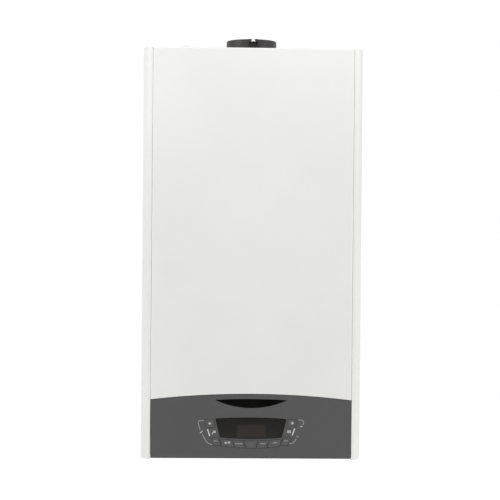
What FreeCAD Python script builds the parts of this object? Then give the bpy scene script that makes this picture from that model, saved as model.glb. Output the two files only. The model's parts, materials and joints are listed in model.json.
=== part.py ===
import FreeCAD, Part
import math
import os
from FreeCAD import Vector as V

# Wall-hung condensing gas boiler, modelled in millimetres. X runs to the right seen from the front,
# Y runs back to the wall at y = 0 and Z runs up. Heights are written from the bottom edge of the casing,
# and every piece is moved down by HANG_Z at the end, so the origin lies midway between the hanging slots.

# Casing
CASE_W = 400.0
CASE_H = 745.0
CASE_D = 319.0
SHEET = 1.0
FRAME_SHEET = 1.5
SEAM = 0.2
FASCIA_SEAM = 0.9
ARCH_SEAM = 1.0
FIT = 0.3
STRIP_W = 17.6
STRIP_TURN = math.radians(30)
STRIP_NOSE_R = 8.0
STRIP_SHOULDER_R = 60.0
FLANGE_DEPTH = 35.0
FRAME_FOLD = 25.0
HANG_DROP = 55.0
HANG_SPACING = 250.0
HANG_SLOT_R = 5.0
HANG_SLOT_L = 24.0
RIB_W = 14.0
RIB_PROUD = 4.0
RIB_X = 60.0
RIB_END_ROOM = 30.0
SIDE_RIB_ROOM = 16.7

# Front panel and the parts that hold it
PANEL_DEPTH = 19.0
PANEL_EDGE_R = 2.2
PANEL_LIP = 29.0
PEG_R = 4.0
PEG_X = 150.0
PEG_DROP = 17.0
PEG_LENGTH = 11.0
TAB_X = 140.0
TAB_W = 30.0
TAB_RISE = 2.5
RAIL_DEPTH = 14.0
RAIL_DROP = 13.7
SCREW_R = 2.5
SCREW_HEAD_R = 5.0
SCREW_HEAD_H = 3.6

# Control panel
FASCIA_BOTTOM = 2.0
FASCIA_TOP = 118.2
ARCH_RISE = 10.8
FASCIA_WALL = 3.0
TRAY_WALL = 2.0
TRAY_DEPTH = 14.0
HINGE_Z = 10.0
HINGE_SETBACK = 12.0
PIN_R = 4.0
PIN_LENGTH = 18.0
PIN_HEAD_R = 7.0
PIN_HEAD_H = 2.2
LUG_R = 7.5
BOX_SIDE_ROOM = 33.6
BOX_FRONT_TOP = 102.0
BOX_BACK_TOP = 90.0
BOX_DEPTH = 43.0
BOARD_T = 1.6
BOARD_SETBACK = 10.0
BOARD_HALF_W = 108.0
BOARD_TOP = 98.0
KEY_GAP = 0.45
KEY_EDGE_R = 0.35
KEY_PROUD = 0.4
KEY_LUG = 1.0
KEY_LUG_SHARE = 0.4
KEY_LUG_T = 1.2
KEY_TRAVEL = 1.2
SWITCH_R = 3.0
CRESCENT_HALF_W = 64.0
CRESCENT_TOP = 109.4
CRESCENT_TIP = 107.5
CRESCENT_LOW = 93.7
CRESCENT_T = 1.5
LENS_PROUD = 0.1
LENS_RIM = 1.5
LENS_RIM_T = 1.0
LCD_HALF_W = 26.0
LCD_LOW = 39.4
LCD_HIGH = 63.9

# Flue and air openings on top
FLUE_BACK_OFFSET = 8.5
FLUE_BORE_R = 30.3
FLUE_WALL = 3.0
FLUE_STEP = 1.0
SOCKET_L = 60.0
COLLAR_R = 47.5
COLLAR_WALL = 2.5
COLLAR_H = 30.0
COLLAR_FLANGE_R = 58.0
COLLAR_FLANGE_T = 3.0
NECK_R = 45.0
NECK_DROP = 18.0
PLUG_X = 1.9
PLUG_LOW_W = 7.6
PLUG_HIGH_W = 5.0
PLUG_H = 4.9
PLUG_T = 2.4
PLUG_NOTCH = 1.1
PLUG_STEM_R = 1.4
PLUG_STEM_L = 3.5
POCKET_W = 16.0
POCKET_H = 7.6
POCKET_DROP = 5.4
POCKET_LIP = 1.25
INTAKE_WALL_ROOM = 8.0
INTAKE_R = 38.0
INTAKE_CAP_R = 43.0
INTAKE_CAP_T = 3.0
INTAKE_TAB_W = 9.5
INTAKE_TAB_H = 22.0

# Bottom plate
BASE_Z = 28.0
BASE_FRONT_ROOM = 9.0
BASE_LIP = 12.0
BASE_HOLE_GAP = 2.0

# Expansion vessel
VESSEL_SIDE_ROOM = 33.7
VESSEL_T = 70.0
VESSEL_TOP_ROOM = 28.5
VESSEL_H = 315.0
VESSEL_GAP = 9.0
VESSEL_R = 26.0
VESSEL_PAD_W = 90.0
VESSEL_PAD_H = 80.0
VESSEL_SEAM = 4.0

# Exchanger, burner and fan
SHELL_Z = 440.0
SHELL_R = 112.0
SHELL_WALL = 2.5
SHELL_BACK = -92.0
FRONT_ROOM = 94.0
SHELL_RIM = 8.0
SHELL_RIM_T = 4.0
BEAD_R = 2.5
BEADS = 4
BRACKET_HALF_W = 50.0
BRACKET_FOOT = 20.0
BRACKET_ROOM = 8.0
BRACKET_H = 56.0
BRACKET_T = 2.0
COIL_TUBE_R = 8.0
COIL_POINTS = 24
COIL_END_ROOM = 10.0
COIL_PITCH = 17.5
BURNER_R = 33.0
BURNER_END_ROOM = 38.0
BURNER_WALL = 1.5
DOOR_T = 10.0
DOOR_STUDS = 6
STUD_R = 4.0
ELECTRODE_X = -62.0
ELECTRODE_Z = 32.0
ELECTRODE_R = 4.5
DOME_R = 56.0
DOME_DEPTH = 36.0
DUCT_GAP = 3.0
FAN_WALL_ROOM = 16.7
FAN_DOOR_GAP = 4.0
FAN_R = 70.0
FAN_T = 44.0
FAN_WALL = 2.0
FAN_INLET_R = 24.0
FAN_OUTLET_W = 36.0
FAN_OUTLET_H = 74.0
IMPELLER_R = 52.0
IMPELLER_GAP = 4.0
BLADES = 12
BLADE_T = 1.5
BLADE_LEAN = 35.0
MOTOR_R = 40.0
MOTOR_L = 23.0
SHAFT_R = 4.0
MIXER_R = 28.0
MIXER_RIM = 6.0
MIXER_NECK_L = 16.0
MIXER_NECK_WALL = 5.0
MIXER_WAIST_R = 19.0
MIXER_SHARE = 0.53
SILENCER_BACK_ROOM = 48.5
SILENCER_W = 42.0
SILENCER_TOP = 560.0
SILENCER_FOOT_H = 58.0
SILENCER_R = 8.0

# Gas line
PORT_Y = -62.0
PORT_LOW = -12.0
THREAD_L = 30.0
NECK_SHARE = 0.85
GAS_R = 13.2
TAP_R = 10.5
HEAT_R = 13.2
FLOW_WALL_ROOM = 68.0
VALVE_HALF_W = 42.0
VALVE_LOW = 160.0
VALVE_H = 86.0
VALVE_FRONT = -128.0
VALVE_BACK = -40.0
VALVE_CORNER_R = 8.0
VALVE_COIL_R = 15.0
VALVE_COIL_L = 24.0
GAS_FEED_X = 20.0
GAS_FEED_Y = -85.0
GAS_FEED_R = 7.0
GAS_FEED_WALL = 3.0

# Water side
BLOCK_IN_ROOM = 8.0
BLOCK_OUT_ROOM = 23.0
BLOCK_FRONT = -112.0
BLOCK_BACK = -38.0
BLOCK_H = 96.0
BLOCK_R = 10.0
PLATE_OVERHANG = 29.0
PLATE_FRONT = -190.0
PLATE_BACK = -136.0
PLATE_LOW = 45.0
PLATE_H = 76.0
PLATE_RIDGES = 10
PLATE_PORT_INSET = 15.0
PLATE_PORT_R = 9.0
DIVERTER_PIPE_ROOM = 12.0
DIVERTER_Y = -75.0
DIVERTER_R = 20.0
DIVERTER_LEG_T = 4.0
DIVERTER_LEG_W = 12.0
DIVERTER_H = 52.0
DIVERTER_LIFT = 18.0
SPINDLE_R = 3.0
SPINDLE_TRAVEL = 8.0
SPINDLE_DEPTH = 12.0
SPINDLE_GRIP = 5.0
PUMP_VALVE_ROOM = 32.0
PUMP_Z = 172.0
PUMP_R = 44.0
PUMP_NECK = 6.0
PUMP_BACK = -56.0
PUMP_T = 52.0
PUMP_MOTOR_R = 41.0
PUMP_FAN_ROOM = 45.0
PUMP_WALL = 4.0
ROTOR_R = 24.0
PIPE_R = 9.0
PIPE_BEND = 22.0
PIPE_TURN_Z = 288.0
STUB_WALL = 2.0
SHELL_PORT_X = 60.0
SHELL_PORT_Y = -116.0
SHELL_PORT_LOW = 322.0
FLOW_PIPE_INSET = 17.0
FLOW_PIPE_Y = -75.0
RETURN_Y = -82.0
RELIEF_INSET = 27.0
RELIEF_Z = 78.0
RELIEF_R = 12.0
RELIEF_L = 40.0
KNOB_R = 16.0
KNOB_L = 16.0
KNOB_FLUTES = 12
FLUTE_R = 2.2
KNOB_STEM_R = 3.5
FILL_Y = -92.0
FILL_R = 9.0
FILL_LOW = 8.0
FILL_KNOB_R = 13.0
FILL_KNOB_L = 18.0

# Condensate
TRAP_WALL_ROOM = 20.7
TRAP_Y = -180.0
TRAP_R = 25.0
TRAP_CUP_R = 28.0
TRAP_LOW = 55.0
TRAP_H = 160.0
TRAP_OUT_R = 10.5
TRAP_OUT_LOW = -5.0
DRAIN_FRONT_ROOM = 45.0
DRAIN_X = -70.0
DRAIN_LOW = 334.0
DRAIN_R = 8.0
DRAIN_TURN_HIGH = 300.0
DRAIN_TURN_LOW = 252.0

# Lens, keys and inner parts of the control panel
LENS_TOP_HALF = 64.2
LENS_LOW_HALF = 55.8
LENS_TOP = 73.6
LENS_CROWN = 75.9
LENS_LOW = 40.2
LENS_FOOT = 37.6
LENS_CORNER_R = 2.0
PLUS_KEY = ((-84.4, 72.2), (-66.8, 73.1), (-65.0, 57.7), (-80.2, 57.7))
MINUS_KEY = ((-74.1, 40.8), (-58.6, 39.3), (-53.4, 25.4), (-67.2, 26.1))
ROW_KEYS = ("key_mode", "key_comfort", "key_power", "key_auto", "key_menu")
ROW_EDGES = ((11.4, 4.0), (31.25, 4.5), (53.5, 5.0))
ROW_HALF = 60.0
ROW_TOP = 34.0
ROW_TOP_END = 38.0
ROW_LOW = 20.5
ROW_LOW_END = 25.5
ROW_WEB = 0.8
KEY_CORNER_R = 1.0
FASCIA_CORNER_R = 1.8
FASCIA_EDGE_R = 1.0
BOARD_LOW = 14.0
POST_INSET = 7.0
POST_R = 3.0
SWITCH_GAP = 0.1
BOX_FLANGE = 9.0
BOX_CORNER_R = 4.0
BOX_GROOVE = 2.0
BOX_GROOVE_INSET = 30.0
TAB_END = 7.0

# Sizes worked out from those above
FRONT = -CASE_D
HALF_W = CASE_W / 2
HANG_Z = CASE_H - HANG_DROP
FLANGE_X = HALF_W - STRIP_W
PANEL_HALF = FLANGE_X - SEAM
STRIP_SETBACK = STRIP_SHOULDER_R * math.sin(STRIP_TURN) + STRIP_NOSE_R * (1 - math.sin(STRIP_TURN))
STRIP_START = FRONT + STRIP_SETBACK
PANEL_BACK = FRONT + PANEL_DEPTH
PANEL_LOW = FASCIA_TOP + ARCH_SEAM
FASCIA_HALF = FLANGE_X - FASCIA_SEAM
PEG_Z = CASE_H - PEG_DROP
TOP_Z = CASE_H - FRAME_SHEET
INNER_HALF = HALF_W - SHEET - FIT
RAIL_FRONT = PANEL_BACK + 2 * SHEET
RAIL_TOP = PANEL_LOW + TAB_RISE
HINGE_Y = FRONT + HINGE_SETBACK
FASCIA_BACK = FRONT + FASCIA_WALL
TRAY_BACK = FRONT + TRAY_DEPTH
BOX_BACK = TRAY_BACK + BOX_DEPTH + TRAY_WALL
BOARD_FRONT = FRONT + BOARD_SETBACK
KEY_BACK = FASCIA_BACK + KEY_LUG_T + FIT
LENS_BACK = FASCIA_BACK + LENS_RIM_T
BASE_TOP = BASE_Z + FRAME_SHEET
BASE_FRONT = BOX_BACK + BASE_FRONT_ROOM
SCREW_Y = RAIL_FRONT + RAIL_DEPTH / 2
TAB_LOW = RAIL_TOP + FIT
BOX_HALF_W = FLANGE_X - BOX_SIDE_ROOM
INTAKE_X = -(COLLAR_FLANGE_R + HALF_W - INTAKE_WALL_ROOM) / 2
VESSEL_HALF_W = INNER_HALF - VESSEL_SIDE_ROOM
VESSEL_LOW = TOP_Z - VESSEL_TOP_ROOM - VESSEL_H
VESSEL_FRONT = -FRAME_SHEET - VESSEL_GAP - VESSEL_T
BRACKET_LOW = VESSEL_LOW - BRACKET_ROOM - BRACKET_H
RIB_H = BRACKET_LOW - BASE_TOP - 2 * RIB_END_ROOM
RIB_MID = BASE_TOP + RIB_END_ROOM + RIB_H / 2
SIDE_RIB_X = INNER_HALF - SIDE_RIB_ROOM
SIDE_RIB_H = TOP_Z - BASE_TOP - 2 * RIB_END_ROOM
SIDE_RIB_MID = (TOP_Z + BASE_TOP) / 2
SHELL_FRONT = FRONT + FRONT_ROOM
SHELL_L = SHELL_BACK - SHELL_FRONT
FLUE_Y = (SHELL_BACK + SHELL_FRONT) / 2 + FLUE_BACK_OFFSET
DOOR_FRONT = SHELL_FRONT - DOOR_T
DOOR_R = SHELL_R + SHELL_RIM - FIT
COIL_R = SHELL_R - SHELL_WALL - COIL_TUBE_R - FIT
COIL_TURNS = int((SHELL_L - 2 * COIL_TUBE_R - COIL_END_ROOM) / COIL_PITCH)
FAN_X = INNER_HALF - FAN_WALL_ROOM - FAN_R
FAN_Z = SHELL_Z - math.sqrt((DOOR_R + FAN_R + FAN_DOOR_GAP) ** 2 - FAN_X ** 2)
BURNER_L = SHELL_L - BURNER_END_ROOM
TRAP_X = TRAP_WALL_ROOM + TRAP_CUP_R - INNER_HALF
DRAIN_Y = SHELL_FRONT + DRAIN_FRONT_ROOM
FLOW_X = HALF_W - FLOW_WALL_ROOM
WATER_X = FLOW_X / 2
BLOCK_IN = WATER_X - BLOCK_IN_ROOM
BLOCK_OUT = FLOW_X + BLOCK_OUT_ROOM
FLOW_PIPE_X = FLOW_PIPE_INSET - BLOCK_OUT
DIVERTER_X = FLOW_PIPE_X + PIPE_R + DIVERTER_PIPE_ROOM + DIVERTER_R
PUMP_X = VALVE_HALF_W + PUMP_VALVE_ROOM + PUMP_R
RELIEF_X = BLOCK_OUT - RELIEF_INSET
FILL_X = (FLOW_X + WATER_X) / 2
PLATE_HALF_W = WATER_X + PLATE_OVERHANG
PLATE_PORT_X = PLATE_HALF_W - PLATE_PORT_INSET
FAN_FRONT = DOOR_FRONT - DOME_DEPTH
FAN_BACK = FAN_FRONT + FAN_T
FAN_OUTLET_X = FAN_X - FAN_R + FAN_OUTLET_W / 2
DUCT_BACK = DOOR_FRONT - DUCT_GAP
SHELL_TOP = SHELL_Z + SHELL_R + SHELL_RIM
PLUG_Z = CASE_H + COLLAR_H - PLUG_H / 2
PUMP_TOP = PUMP_Z + PUMP_R + PUMP_NECK
INTAKE_ROOM = VESSEL_FRONT - SILENCER_BACK_ROOM - FAN_BACK
MIXER_BACK = FAN_BACK + MIXER_SHARE * INTAKE_ROOM
SILENCER_T = (1 - MIXER_SHARE) * INTAKE_ROOM
PUMP_FRONT = PUMP_BACK - PUMP_T
PUMP_NOSE = FAN_BACK + PUMP_FAN_ROOM
BLOCK_TOP = BASE_TOP + BLOCK_H
VALVE_TOP = VALVE_LOW + VALVE_H
BASE_HOLES = ((-FLOW_X, PORT_Y, HEAT_R), (-WATER_X, PORT_Y, TAP_R), (0, PORT_Y, GAS_R),
              (WATER_X, PORT_Y, TAP_R), (FLOW_X, PORT_Y, HEAT_R), (TRAP_X, TRAP_Y, TRAP_OUT_R),
              (FILL_X, FILL_Y, FILL_R))


def box(x0, x1, y0, y1, z0, z1):
    """Block between two corners."""
    return Part.makeBox(x1 - x0, y1 - y0, z1 - z0, V(x0, y0, z0))


def rod(radius, start, end):
    """Round bar between two points."""
    axis = end - start
    return Part.makeCylinder(radius, axis.Length, start, axis)


def ring(outer, inner, start, end):
    """Round sleeve between two points."""
    return rod(outer, start, end).cut(rod(inner, start, end))


def slot_bar(length, radius, centre, direction):
    """Bar with an obround section that is long along X."""
    half = length / 2 - radius
    left = rod(radius, centre - V(half, 0, 0), centre - V(half, 0, 0) + direction)
    right = rod(radius, centre + V(half, 0, 0), centre + V(half, 0, 0) + direction)
    corner = centre - V(half, 0, radius)
    middle = Part.makePolygon([corner, corner + V(2 * half, 0, 0), corner + V(2 * half, 0, 2 * radius),
                               corner + V(0, 0, 2 * radius), corner])
    return Part.Face(middle).extrude(direction).fuse([left, right]).removeSplitter()


def upright_slot(length, radius, centre, direction):
    """Bar with an obround section that is long along Z."""
    bar = slot_bar(length, radius, V(0, 0, 0), direction)
    bar.rotate(V(0, 0, 0), V(0, 1, 0), 90)
    return bar.translated(centre)


def bent_wire(points, bend):
    """Straight runs through the points, with a tangent arc of the given radius at each corner."""
    edges = []
    start = points[0]
    for before, corner, after in zip(points, points[1:], points[2:]):
        into = (corner - before).normalize()
        away = (after - corner).normalize()
        half = into.getAngle(away) / 2
        reach = bend * math.tan(half)
        first = corner - into * reach
        last = corner + away * reach
        inward = (away - into).normalize()
        middle = corner + inward * (bend / math.cos(half) - bend)
        edges.append(Part.LineSegment(start, first).toShape())
        edges.append(Part.Arc(first, middle, last).toShape())
        start = last
    edges.append(Part.LineSegment(start, points[-1]).toShape())
    return Part.Wire(edges)


def bent_pipe(points, radius, bend):
    """Round pipe along straight runs and arcs."""
    circle = Part.Wire(Part.makeCircle(radius, points[0], points[1] - points[0]))
    return bent_wire(points, bend).makePipeShell([circle], True, False)


def rounded(solid, radius, axis):
    """Round the edges of a block that run along one axis."""
    chosen = []
    for edge in solid.Edges:
        if len(edge.Vertexes) == 2:
            run = edge.Vertexes[1].Point - edge.Vertexes[0].Point
            if run.Length > 0.001 and run.cross(axis).Length < 0.001 * run.Length:
                chosen.append(edge)
    return solid.makeFillet(radius, chosen)


def arch_face(half, low, top, rise, y):
    """Upright face with a flat foot and an arched top."""
    side = top - rise
    foot_left = V(-half, y, low)
    foot_right = V(half, y, low)
    edges = [Part.LineSegment(foot_left, foot_right).toShape(),
             Part.LineSegment(foot_right, V(half, y, side)).toShape(),
             Part.Arc(V(half, y, side), V(0, y, top), V(-half, y, side)).toShape(),
             Part.LineSegment(V(-half, y, side), foot_left).toShape()]
    return Part.Face(Part.Wire(edges))


def mirrored(solid):
    """The same piece on the other side of the middle plane."""
    return solid.mirror(V(0, 0, 0), V(1, 0, 0))


def polygon_bar(points, y0, y1):
    """Bar along Y whose section is a polygon given as x and z."""
    corners = [V(x, y0, z) for x, z in points]
    return Part.Face(Part.makePolygon(corners + corners[:1])).extrude(V(0, y1 - y0, 0))


# Casing pieces

def side_edges(inset):
    """Section of the right side panel seen from above: side, curved front strip and inner flange."""
    turn = STRIP_TURN
    shoulder = V(HALF_W - STRIP_SHOULDER_R, STRIP_START, 0)
    nose = shoulder + V(math.cos(turn), -math.sin(turn), 0) * (STRIP_SHOULDER_R - STRIP_NOSE_R)

    def on_arc(centre, radius, angle):
        return centre + V(math.cos(angle), -math.sin(angle), 0) * (radius - inset)

    quarter = math.pi / 2
    rear = V(HALF_W - inset, 0, 0)
    side = on_arc(shoulder, STRIP_SHOULDER_R, 0)
    meet = on_arc(nose, STRIP_NOSE_R, turn)
    front = on_arc(nose, STRIP_NOSE_R, quarter)
    fold = V(FLANGE_X + inset, FRONT + inset, 0)
    end = V(FLANGE_X + inset, FRONT + FLANGE_DEPTH, 0)
    return [Part.LineSegment(rear, side).toShape(),
            Part.Arc(side, on_arc(shoulder, STRIP_SHOULDER_R, turn / 2), meet).toShape(),
            Part.Arc(meet, on_arc(nose, STRIP_NOSE_R, (turn + quarter) / 2), front).toShape(),
            Part.LineSegment(front, fold).toShape(),
            Part.LineSegment(fold, end).toShape()], rear, end


def make_side_panel():
    outer, outer_rear, outer_end = side_edges(0)
    inner, inner_rear, inner_end = side_edges(SHEET)
    inner_back = [edge for edge in reversed(inner)]
    edges = outer + [Part.LineSegment(outer_end, inner_end).toShape()] + inner_back
    edges.append(Part.LineSegment(inner_rear, outer_rear).toShape())
    panel = Part.Face(Part.Wire(Part.__sortEdges__(edges))).extrude(V(0, 0, CASE_H))
    hollow = V(HALF_W - SHEET, FRONT + FLANGE_DEPTH, 0)
    cap_edges = [Part.LineSegment(hollow, inner[1].Vertexes[0].Point).toShape()]
    cap_edges += inner[1:] + [Part.LineSegment(inner_end, hollow).toShape()]
    cap = Part.Face(Part.Wire(Part.__sortEdges__(cap_edges))).extrude(V(0, 0, SHEET))
    upper_cap = cap.translated(V(0, 0, CASE_H - SHEET))
    pin_hole = rod(PIN_R, V(FLANGE_X - SHEET, HINGE_Y, HINGE_Z), V(FLANGE_X + 2 * SHEET, HINGE_Y, HINGE_Z))
    return panel.fuse([cap, upper_cap]).cut(pin_hole).removeSplitter()


def make_rear_frame():
    plate = box(-INNER_HALF, INNER_HALF, -FRAME_SHEET, 0, BASE_TOP, TOP_Z)
    fold = box(INNER_HALF - FRAME_SHEET, INNER_HALF, -FRAME_FOLD, 0, BASE_TOP, TOP_Z)
    frame = plate.fuse([fold, mirrored(fold)])
    ribs = [(-RIB_X, RIB_MID, RIB_H), (RIB_X, RIB_MID, RIB_H)]
    ribs += [(-SIDE_RIB_X, SIDE_RIB_MID, SIDE_RIB_H), (SIDE_RIB_X, SIDE_RIB_MID, SIDE_RIB_H)]
    for x, middle, length in ribs:
        frame = frame.fuse(upright_slot(length, RIB_W / 2, V(x, -FRAME_SHEET, middle), V(0, -RIB_PROUD, 0)))
        groove_length = length - 2 * FRAME_SHEET
        groove_r = RIB_W / 2 - FRAME_SHEET
        frame = frame.cut(upright_slot(groove_length, groove_r, V(x, 0, middle), V(0, -RIB_PROUD, 0)))
    for x in (-HANG_SPACING / 2, HANG_SPACING / 2):
        cutter = slot_bar(HANG_SLOT_L, HANG_SLOT_R, V(x, 1, HANG_Z), V(0, -FRAME_SHEET - 2, 0))
        frame = frame.cut(cutter)
    return frame.removeSplitter()


def make_top_plate():
    shoulder_y = FRONT + FLANGE_DEPTH + FIT
    tongue_half = FLANGE_X - FIT
    front_y = PANEL_BACK + SHEET
    plate = box(-INNER_HALF, INNER_HALF, shoulder_y, 0, TOP_Z, CASE_H)
    tongue = box(-tongue_half, tongue_half, front_y, shoulder_y, TOP_Z, CASE_H)
    apron = box(-tongue_half, tongue_half, front_y, front_y + FRAME_SHEET, CASE_H - PANEL_LIP, CASE_H)
    plate = plate.fuse([tongue, apron])
    for x in (-PEG_X, PEG_X):
        peg_root = V(x, front_y + FRAME_SHEET, PEG_Z)
        plate = plate.fuse(rod(PEG_R, peg_root, V(x, front_y - PEG_LENGTH, PEG_Z)))
    flue_hole = rod(NECK_R + FIT, V(0, FLUE_Y, TOP_Z - 1), V(0, FLUE_Y, CASE_H + 1))
    intake_hole = rod(INTAKE_R, V(INTAKE_X, FLUE_Y, TOP_Z - 1), V(INTAKE_X, FLUE_Y, CASE_H + 1))
    return plate.cut(flue_hole).cut(intake_hole).removeSplitter()


def make_bottom_plate():
    plate = box(-INNER_HALF, INNER_HALF, BASE_FRONT, 0, BASE_Z, BASE_TOP)
    lip = box(-INNER_HALF, INNER_HALF, BASE_FRONT, BASE_FRONT + FRAME_SHEET, BASE_Z, BASE_TOP + BASE_LIP)
    plate = plate.fuse(lip).removeSplitter()
    for x, y, radius in BASE_HOLES:
        plate = plate.cut(rod(radius + BASE_HOLE_GAP, V(x, y, BASE_Z - 1), V(x, y, BASE_TOP + 1)))
    return plate


def make_cross_rail():
    low = RAIL_TOP - RAIL_DROP
    back = RAIL_FRONT + RAIL_DEPTH
    ledge = box(-FLANGE_X, FLANGE_X, RAIL_FRONT, back, RAIL_TOP - FRAME_SHEET, RAIL_TOP)
    web = box(-FLANGE_X, FLANGE_X, back - FRAME_SHEET, back, low, RAIL_TOP)
    rail = ledge.fuse(web)
    reach = SCREW_R + 2 * FIT
    for x in (-TAB_X, TAB_X):
        notch = box(x - reach, x + reach, RAIL_FRONT - 1, SCREW_Y, RAIL_TOP - 2 * FRAME_SHEET, RAIL_TOP + 1)
        bed = rod(reach, V(x, SCREW_Y, RAIL_TOP - 2 * FRAME_SHEET), V(x, SCREW_Y, RAIL_TOP + 1))
        rail = rail.cut(notch.fuse(bed))
    return rail.removeSplitter()


def make_hinge_pin():
    inner = V(FLANGE_X - PIN_LENGTH, HINGE_Y, HINGE_Z)
    seat = V(FLANGE_X + SHEET, HINGE_Y, HINGE_Z)
    head = rod(PIN_HEAD_R, seat, seat + V(PIN_HEAD_H, 0, 0))
    return rod(PIN_R, inner, seat).fuse(head).removeSplitter()


def make_front_panel():
    side_low = PANEL_LOW - ARCH_RISE
    face = [Part.LineSegment(V(PANEL_HALF, FRONT, side_low), V(PANEL_HALF, FRONT, CASE_H)).toShape(),
            Part.LineSegment(V(PANEL_HALF, FRONT, CASE_H), V(-PANEL_HALF, FRONT, CASE_H)).toShape(),
            Part.LineSegment(V(-PANEL_HALF, FRONT, CASE_H), V(-PANEL_HALF, FRONT, side_low)).toShape(),
            Part.Arc(V(-PANEL_HALF, FRONT, side_low), V(0, FRONT, PANEL_LOW),
                     V(PANEL_HALF, FRONT, side_low)).toShape()]
    pan = Part.Face(Part.Wire(face)).extrude(V(0, PANEL_DEPTH, 0))
    rim = []
    for edge in pan.Edges:
        middle = edge.CenterOfMass
        if abs(middle.y - FRONT) < 0.001 and edge.Curve.TypeId == "Part::GeomLine":
            rim.append(edge)
    pan = pan.makeFillet(PANEL_EDGE_R, rim)
    inner_half = PANEL_HALF - SHEET
    hollow = box(-inner_half, inner_half, FRONT + SHEET, PANEL_BACK + 1, side_low - 1, CASE_H - SHEET)
    inner_rim = []
    for edge in hollow.Edges:
        middle = edge.CenterOfMass
        if abs(middle.y - FRONT - SHEET) < 0.001 and middle.z > side_low:
            inner_rim.append(edge)
    pan = pan.cut(hollow.makeFillet(PANEL_EDGE_R - SHEET, inner_rim))
    lip_low = CASE_H - PANEL_LIP
    lip = box(-inner_half, inner_half, PANEL_BACK - SHEET, PANEL_BACK, lip_low, CASE_H - SHEET)
    for x in (-PEG_X, PEG_X):
        hole_front = V(x, PANEL_BACK - 2 * SHEET, PEG_Z)
        lip = lip.cut(rod(PEG_R + FIT, hole_front, V(x, PANEL_BACK + SHEET, PEG_Z)))
    tabs = []
    for x in (-TAB_X, TAB_X):
        tab = box(x - TAB_W / 2, x + TAB_W / 2, FRONT + SHEET, SCREW_Y + TAB_END,
                  TAB_LOW, TAB_LOW + FRAME_SHEET)
        hole_low = V(x, SCREW_Y, TAB_LOW - FRAME_SHEET)
        tabs.append(tab.cut(rod(SCREW_R, hole_low, V(x, SCREW_Y, TAB_LOW + 2 * FRAME_SHEET))))
    return pan.fuse([lip] + tabs).removeSplitter()


def make_front_panel_screws():
    screws = []
    for x in (-TAB_X, TAB_X):
        head_top = V(x, SCREW_Y, RAIL_TOP - FRAME_SHEET - FIT)
        head = rod(SCREW_HEAD_R, head_top - V(0, 0, SCREW_HEAD_H), head_top)
        shank = rod(SCREW_R, head_top, V(x, SCREW_Y, TAB_LOW + FRAME_SHEET))
        screws.append(head.fuse(shank).removeSplitter())
    return Part.makeCompound(screws)


# Control panel pieces, with outlines given as x and z on the fascia

def face_on_front(edges):
    return Part.Face(Part.Wire(Part.__sortEdges__(edges)))


def front_point(x, z):
    return V(x, FRONT, z)


def grown(face, distance):
    """Outline offset outward, or inward where the distance is negative."""
    return Part.Face(face.OuterWire.makeOffset2D(distance))


def softened(face, radius):
    """The same outline with its corners rounded."""
    plate = rounded(face.extrude(V(0, FASCIA_WALL, 0)), radius, V(0, 1, 0))
    fronts = [side for side in plate.Faces if abs(side.BoundBox.YMax - FRONT) < 0.001]
    return fronts[0]


def plate_from(face, y0, y1):
    """Plate with the outline of a face, from one depth to another."""
    plate = face.translated(V(0, y0 - FRONT, 0))
    return plate.extrude(V(0, y1 - y0, 0))


def lens_face():
    left_top = front_point(-LENS_TOP_HALF, LENS_TOP)
    right_top = front_point(LENS_TOP_HALF, LENS_TOP)
    left_low = front_point(-LENS_LOW_HALF, LENS_LOW)
    right_low = front_point(LENS_LOW_HALF, LENS_LOW)
    outline = face_on_front([Part.Arc(left_top, front_point(0, LENS_CROWN), right_top).toShape(),
                             Part.LineSegment(right_top, right_low).toShape(),
                             Part.Arc(right_low, front_point(0, LENS_FOOT), left_low).toShape(),
                             Part.LineSegment(left_low, left_top).toShape()])
    return softened(outline, LENS_CORNER_R)


def crescent_face():
    left = front_point(-CRESCENT_HALF_W, CRESCENT_TIP)
    right = front_point(CRESCENT_HALF_W, CRESCENT_TIP)
    return face_on_front([Part.Arc(left, front_point(0, CRESCENT_TOP), right).toShape(),
                          Part.Arc(right, front_point(0, CRESCENT_LOW), left).toShape()])


def polygon_face(points):
    corners = [front_point(x, z) for x, z in points]
    return Part.Face(Part.makePolygon(corners + corners[:1]))


def row_key_face(left, right):
    """Key of the lower row, between two slanted edges and the row's two arcs."""
    span = ROW_HALF
    upper = Part.Arc(front_point(-span, ROW_TOP_END), front_point(0, ROW_TOP),
                     front_point(span, ROW_TOP_END))
    lower = Part.Arc(front_point(-span, ROW_LOW_END), front_point(0, ROW_LOW),
                     front_point(span, ROW_LOW_END))
    band = face_on_front([upper.toShape(), lower.toShape(),
                          Part.LineSegment(front_point(-span, ROW_TOP_END),
                                           front_point(-span, ROW_LOW_END)).toShape(),
                          Part.LineSegment(front_point(span, ROW_TOP_END),
                                           front_point(span, ROW_LOW_END)).toShape()])
    middle = (ROW_TOP + ROW_LOW) / 2
    reach = ROW_TOP - ROW_LOW
    inset = ROW_WEB / 2

    def edge_x(edge, side):
        mid, lean = edge
        return mid + side * lean

    wedge = polygon_face([(edge_x(left, 1) + inset, middle + reach),
                          (edge_x(right, 1) - inset, middle + reach),
                          (edge_x(right, -1) - inset, middle - reach),
                          (edge_x(left, -1) + inset, middle - reach)])
    return band.common(wedge).Faces[0]


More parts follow.
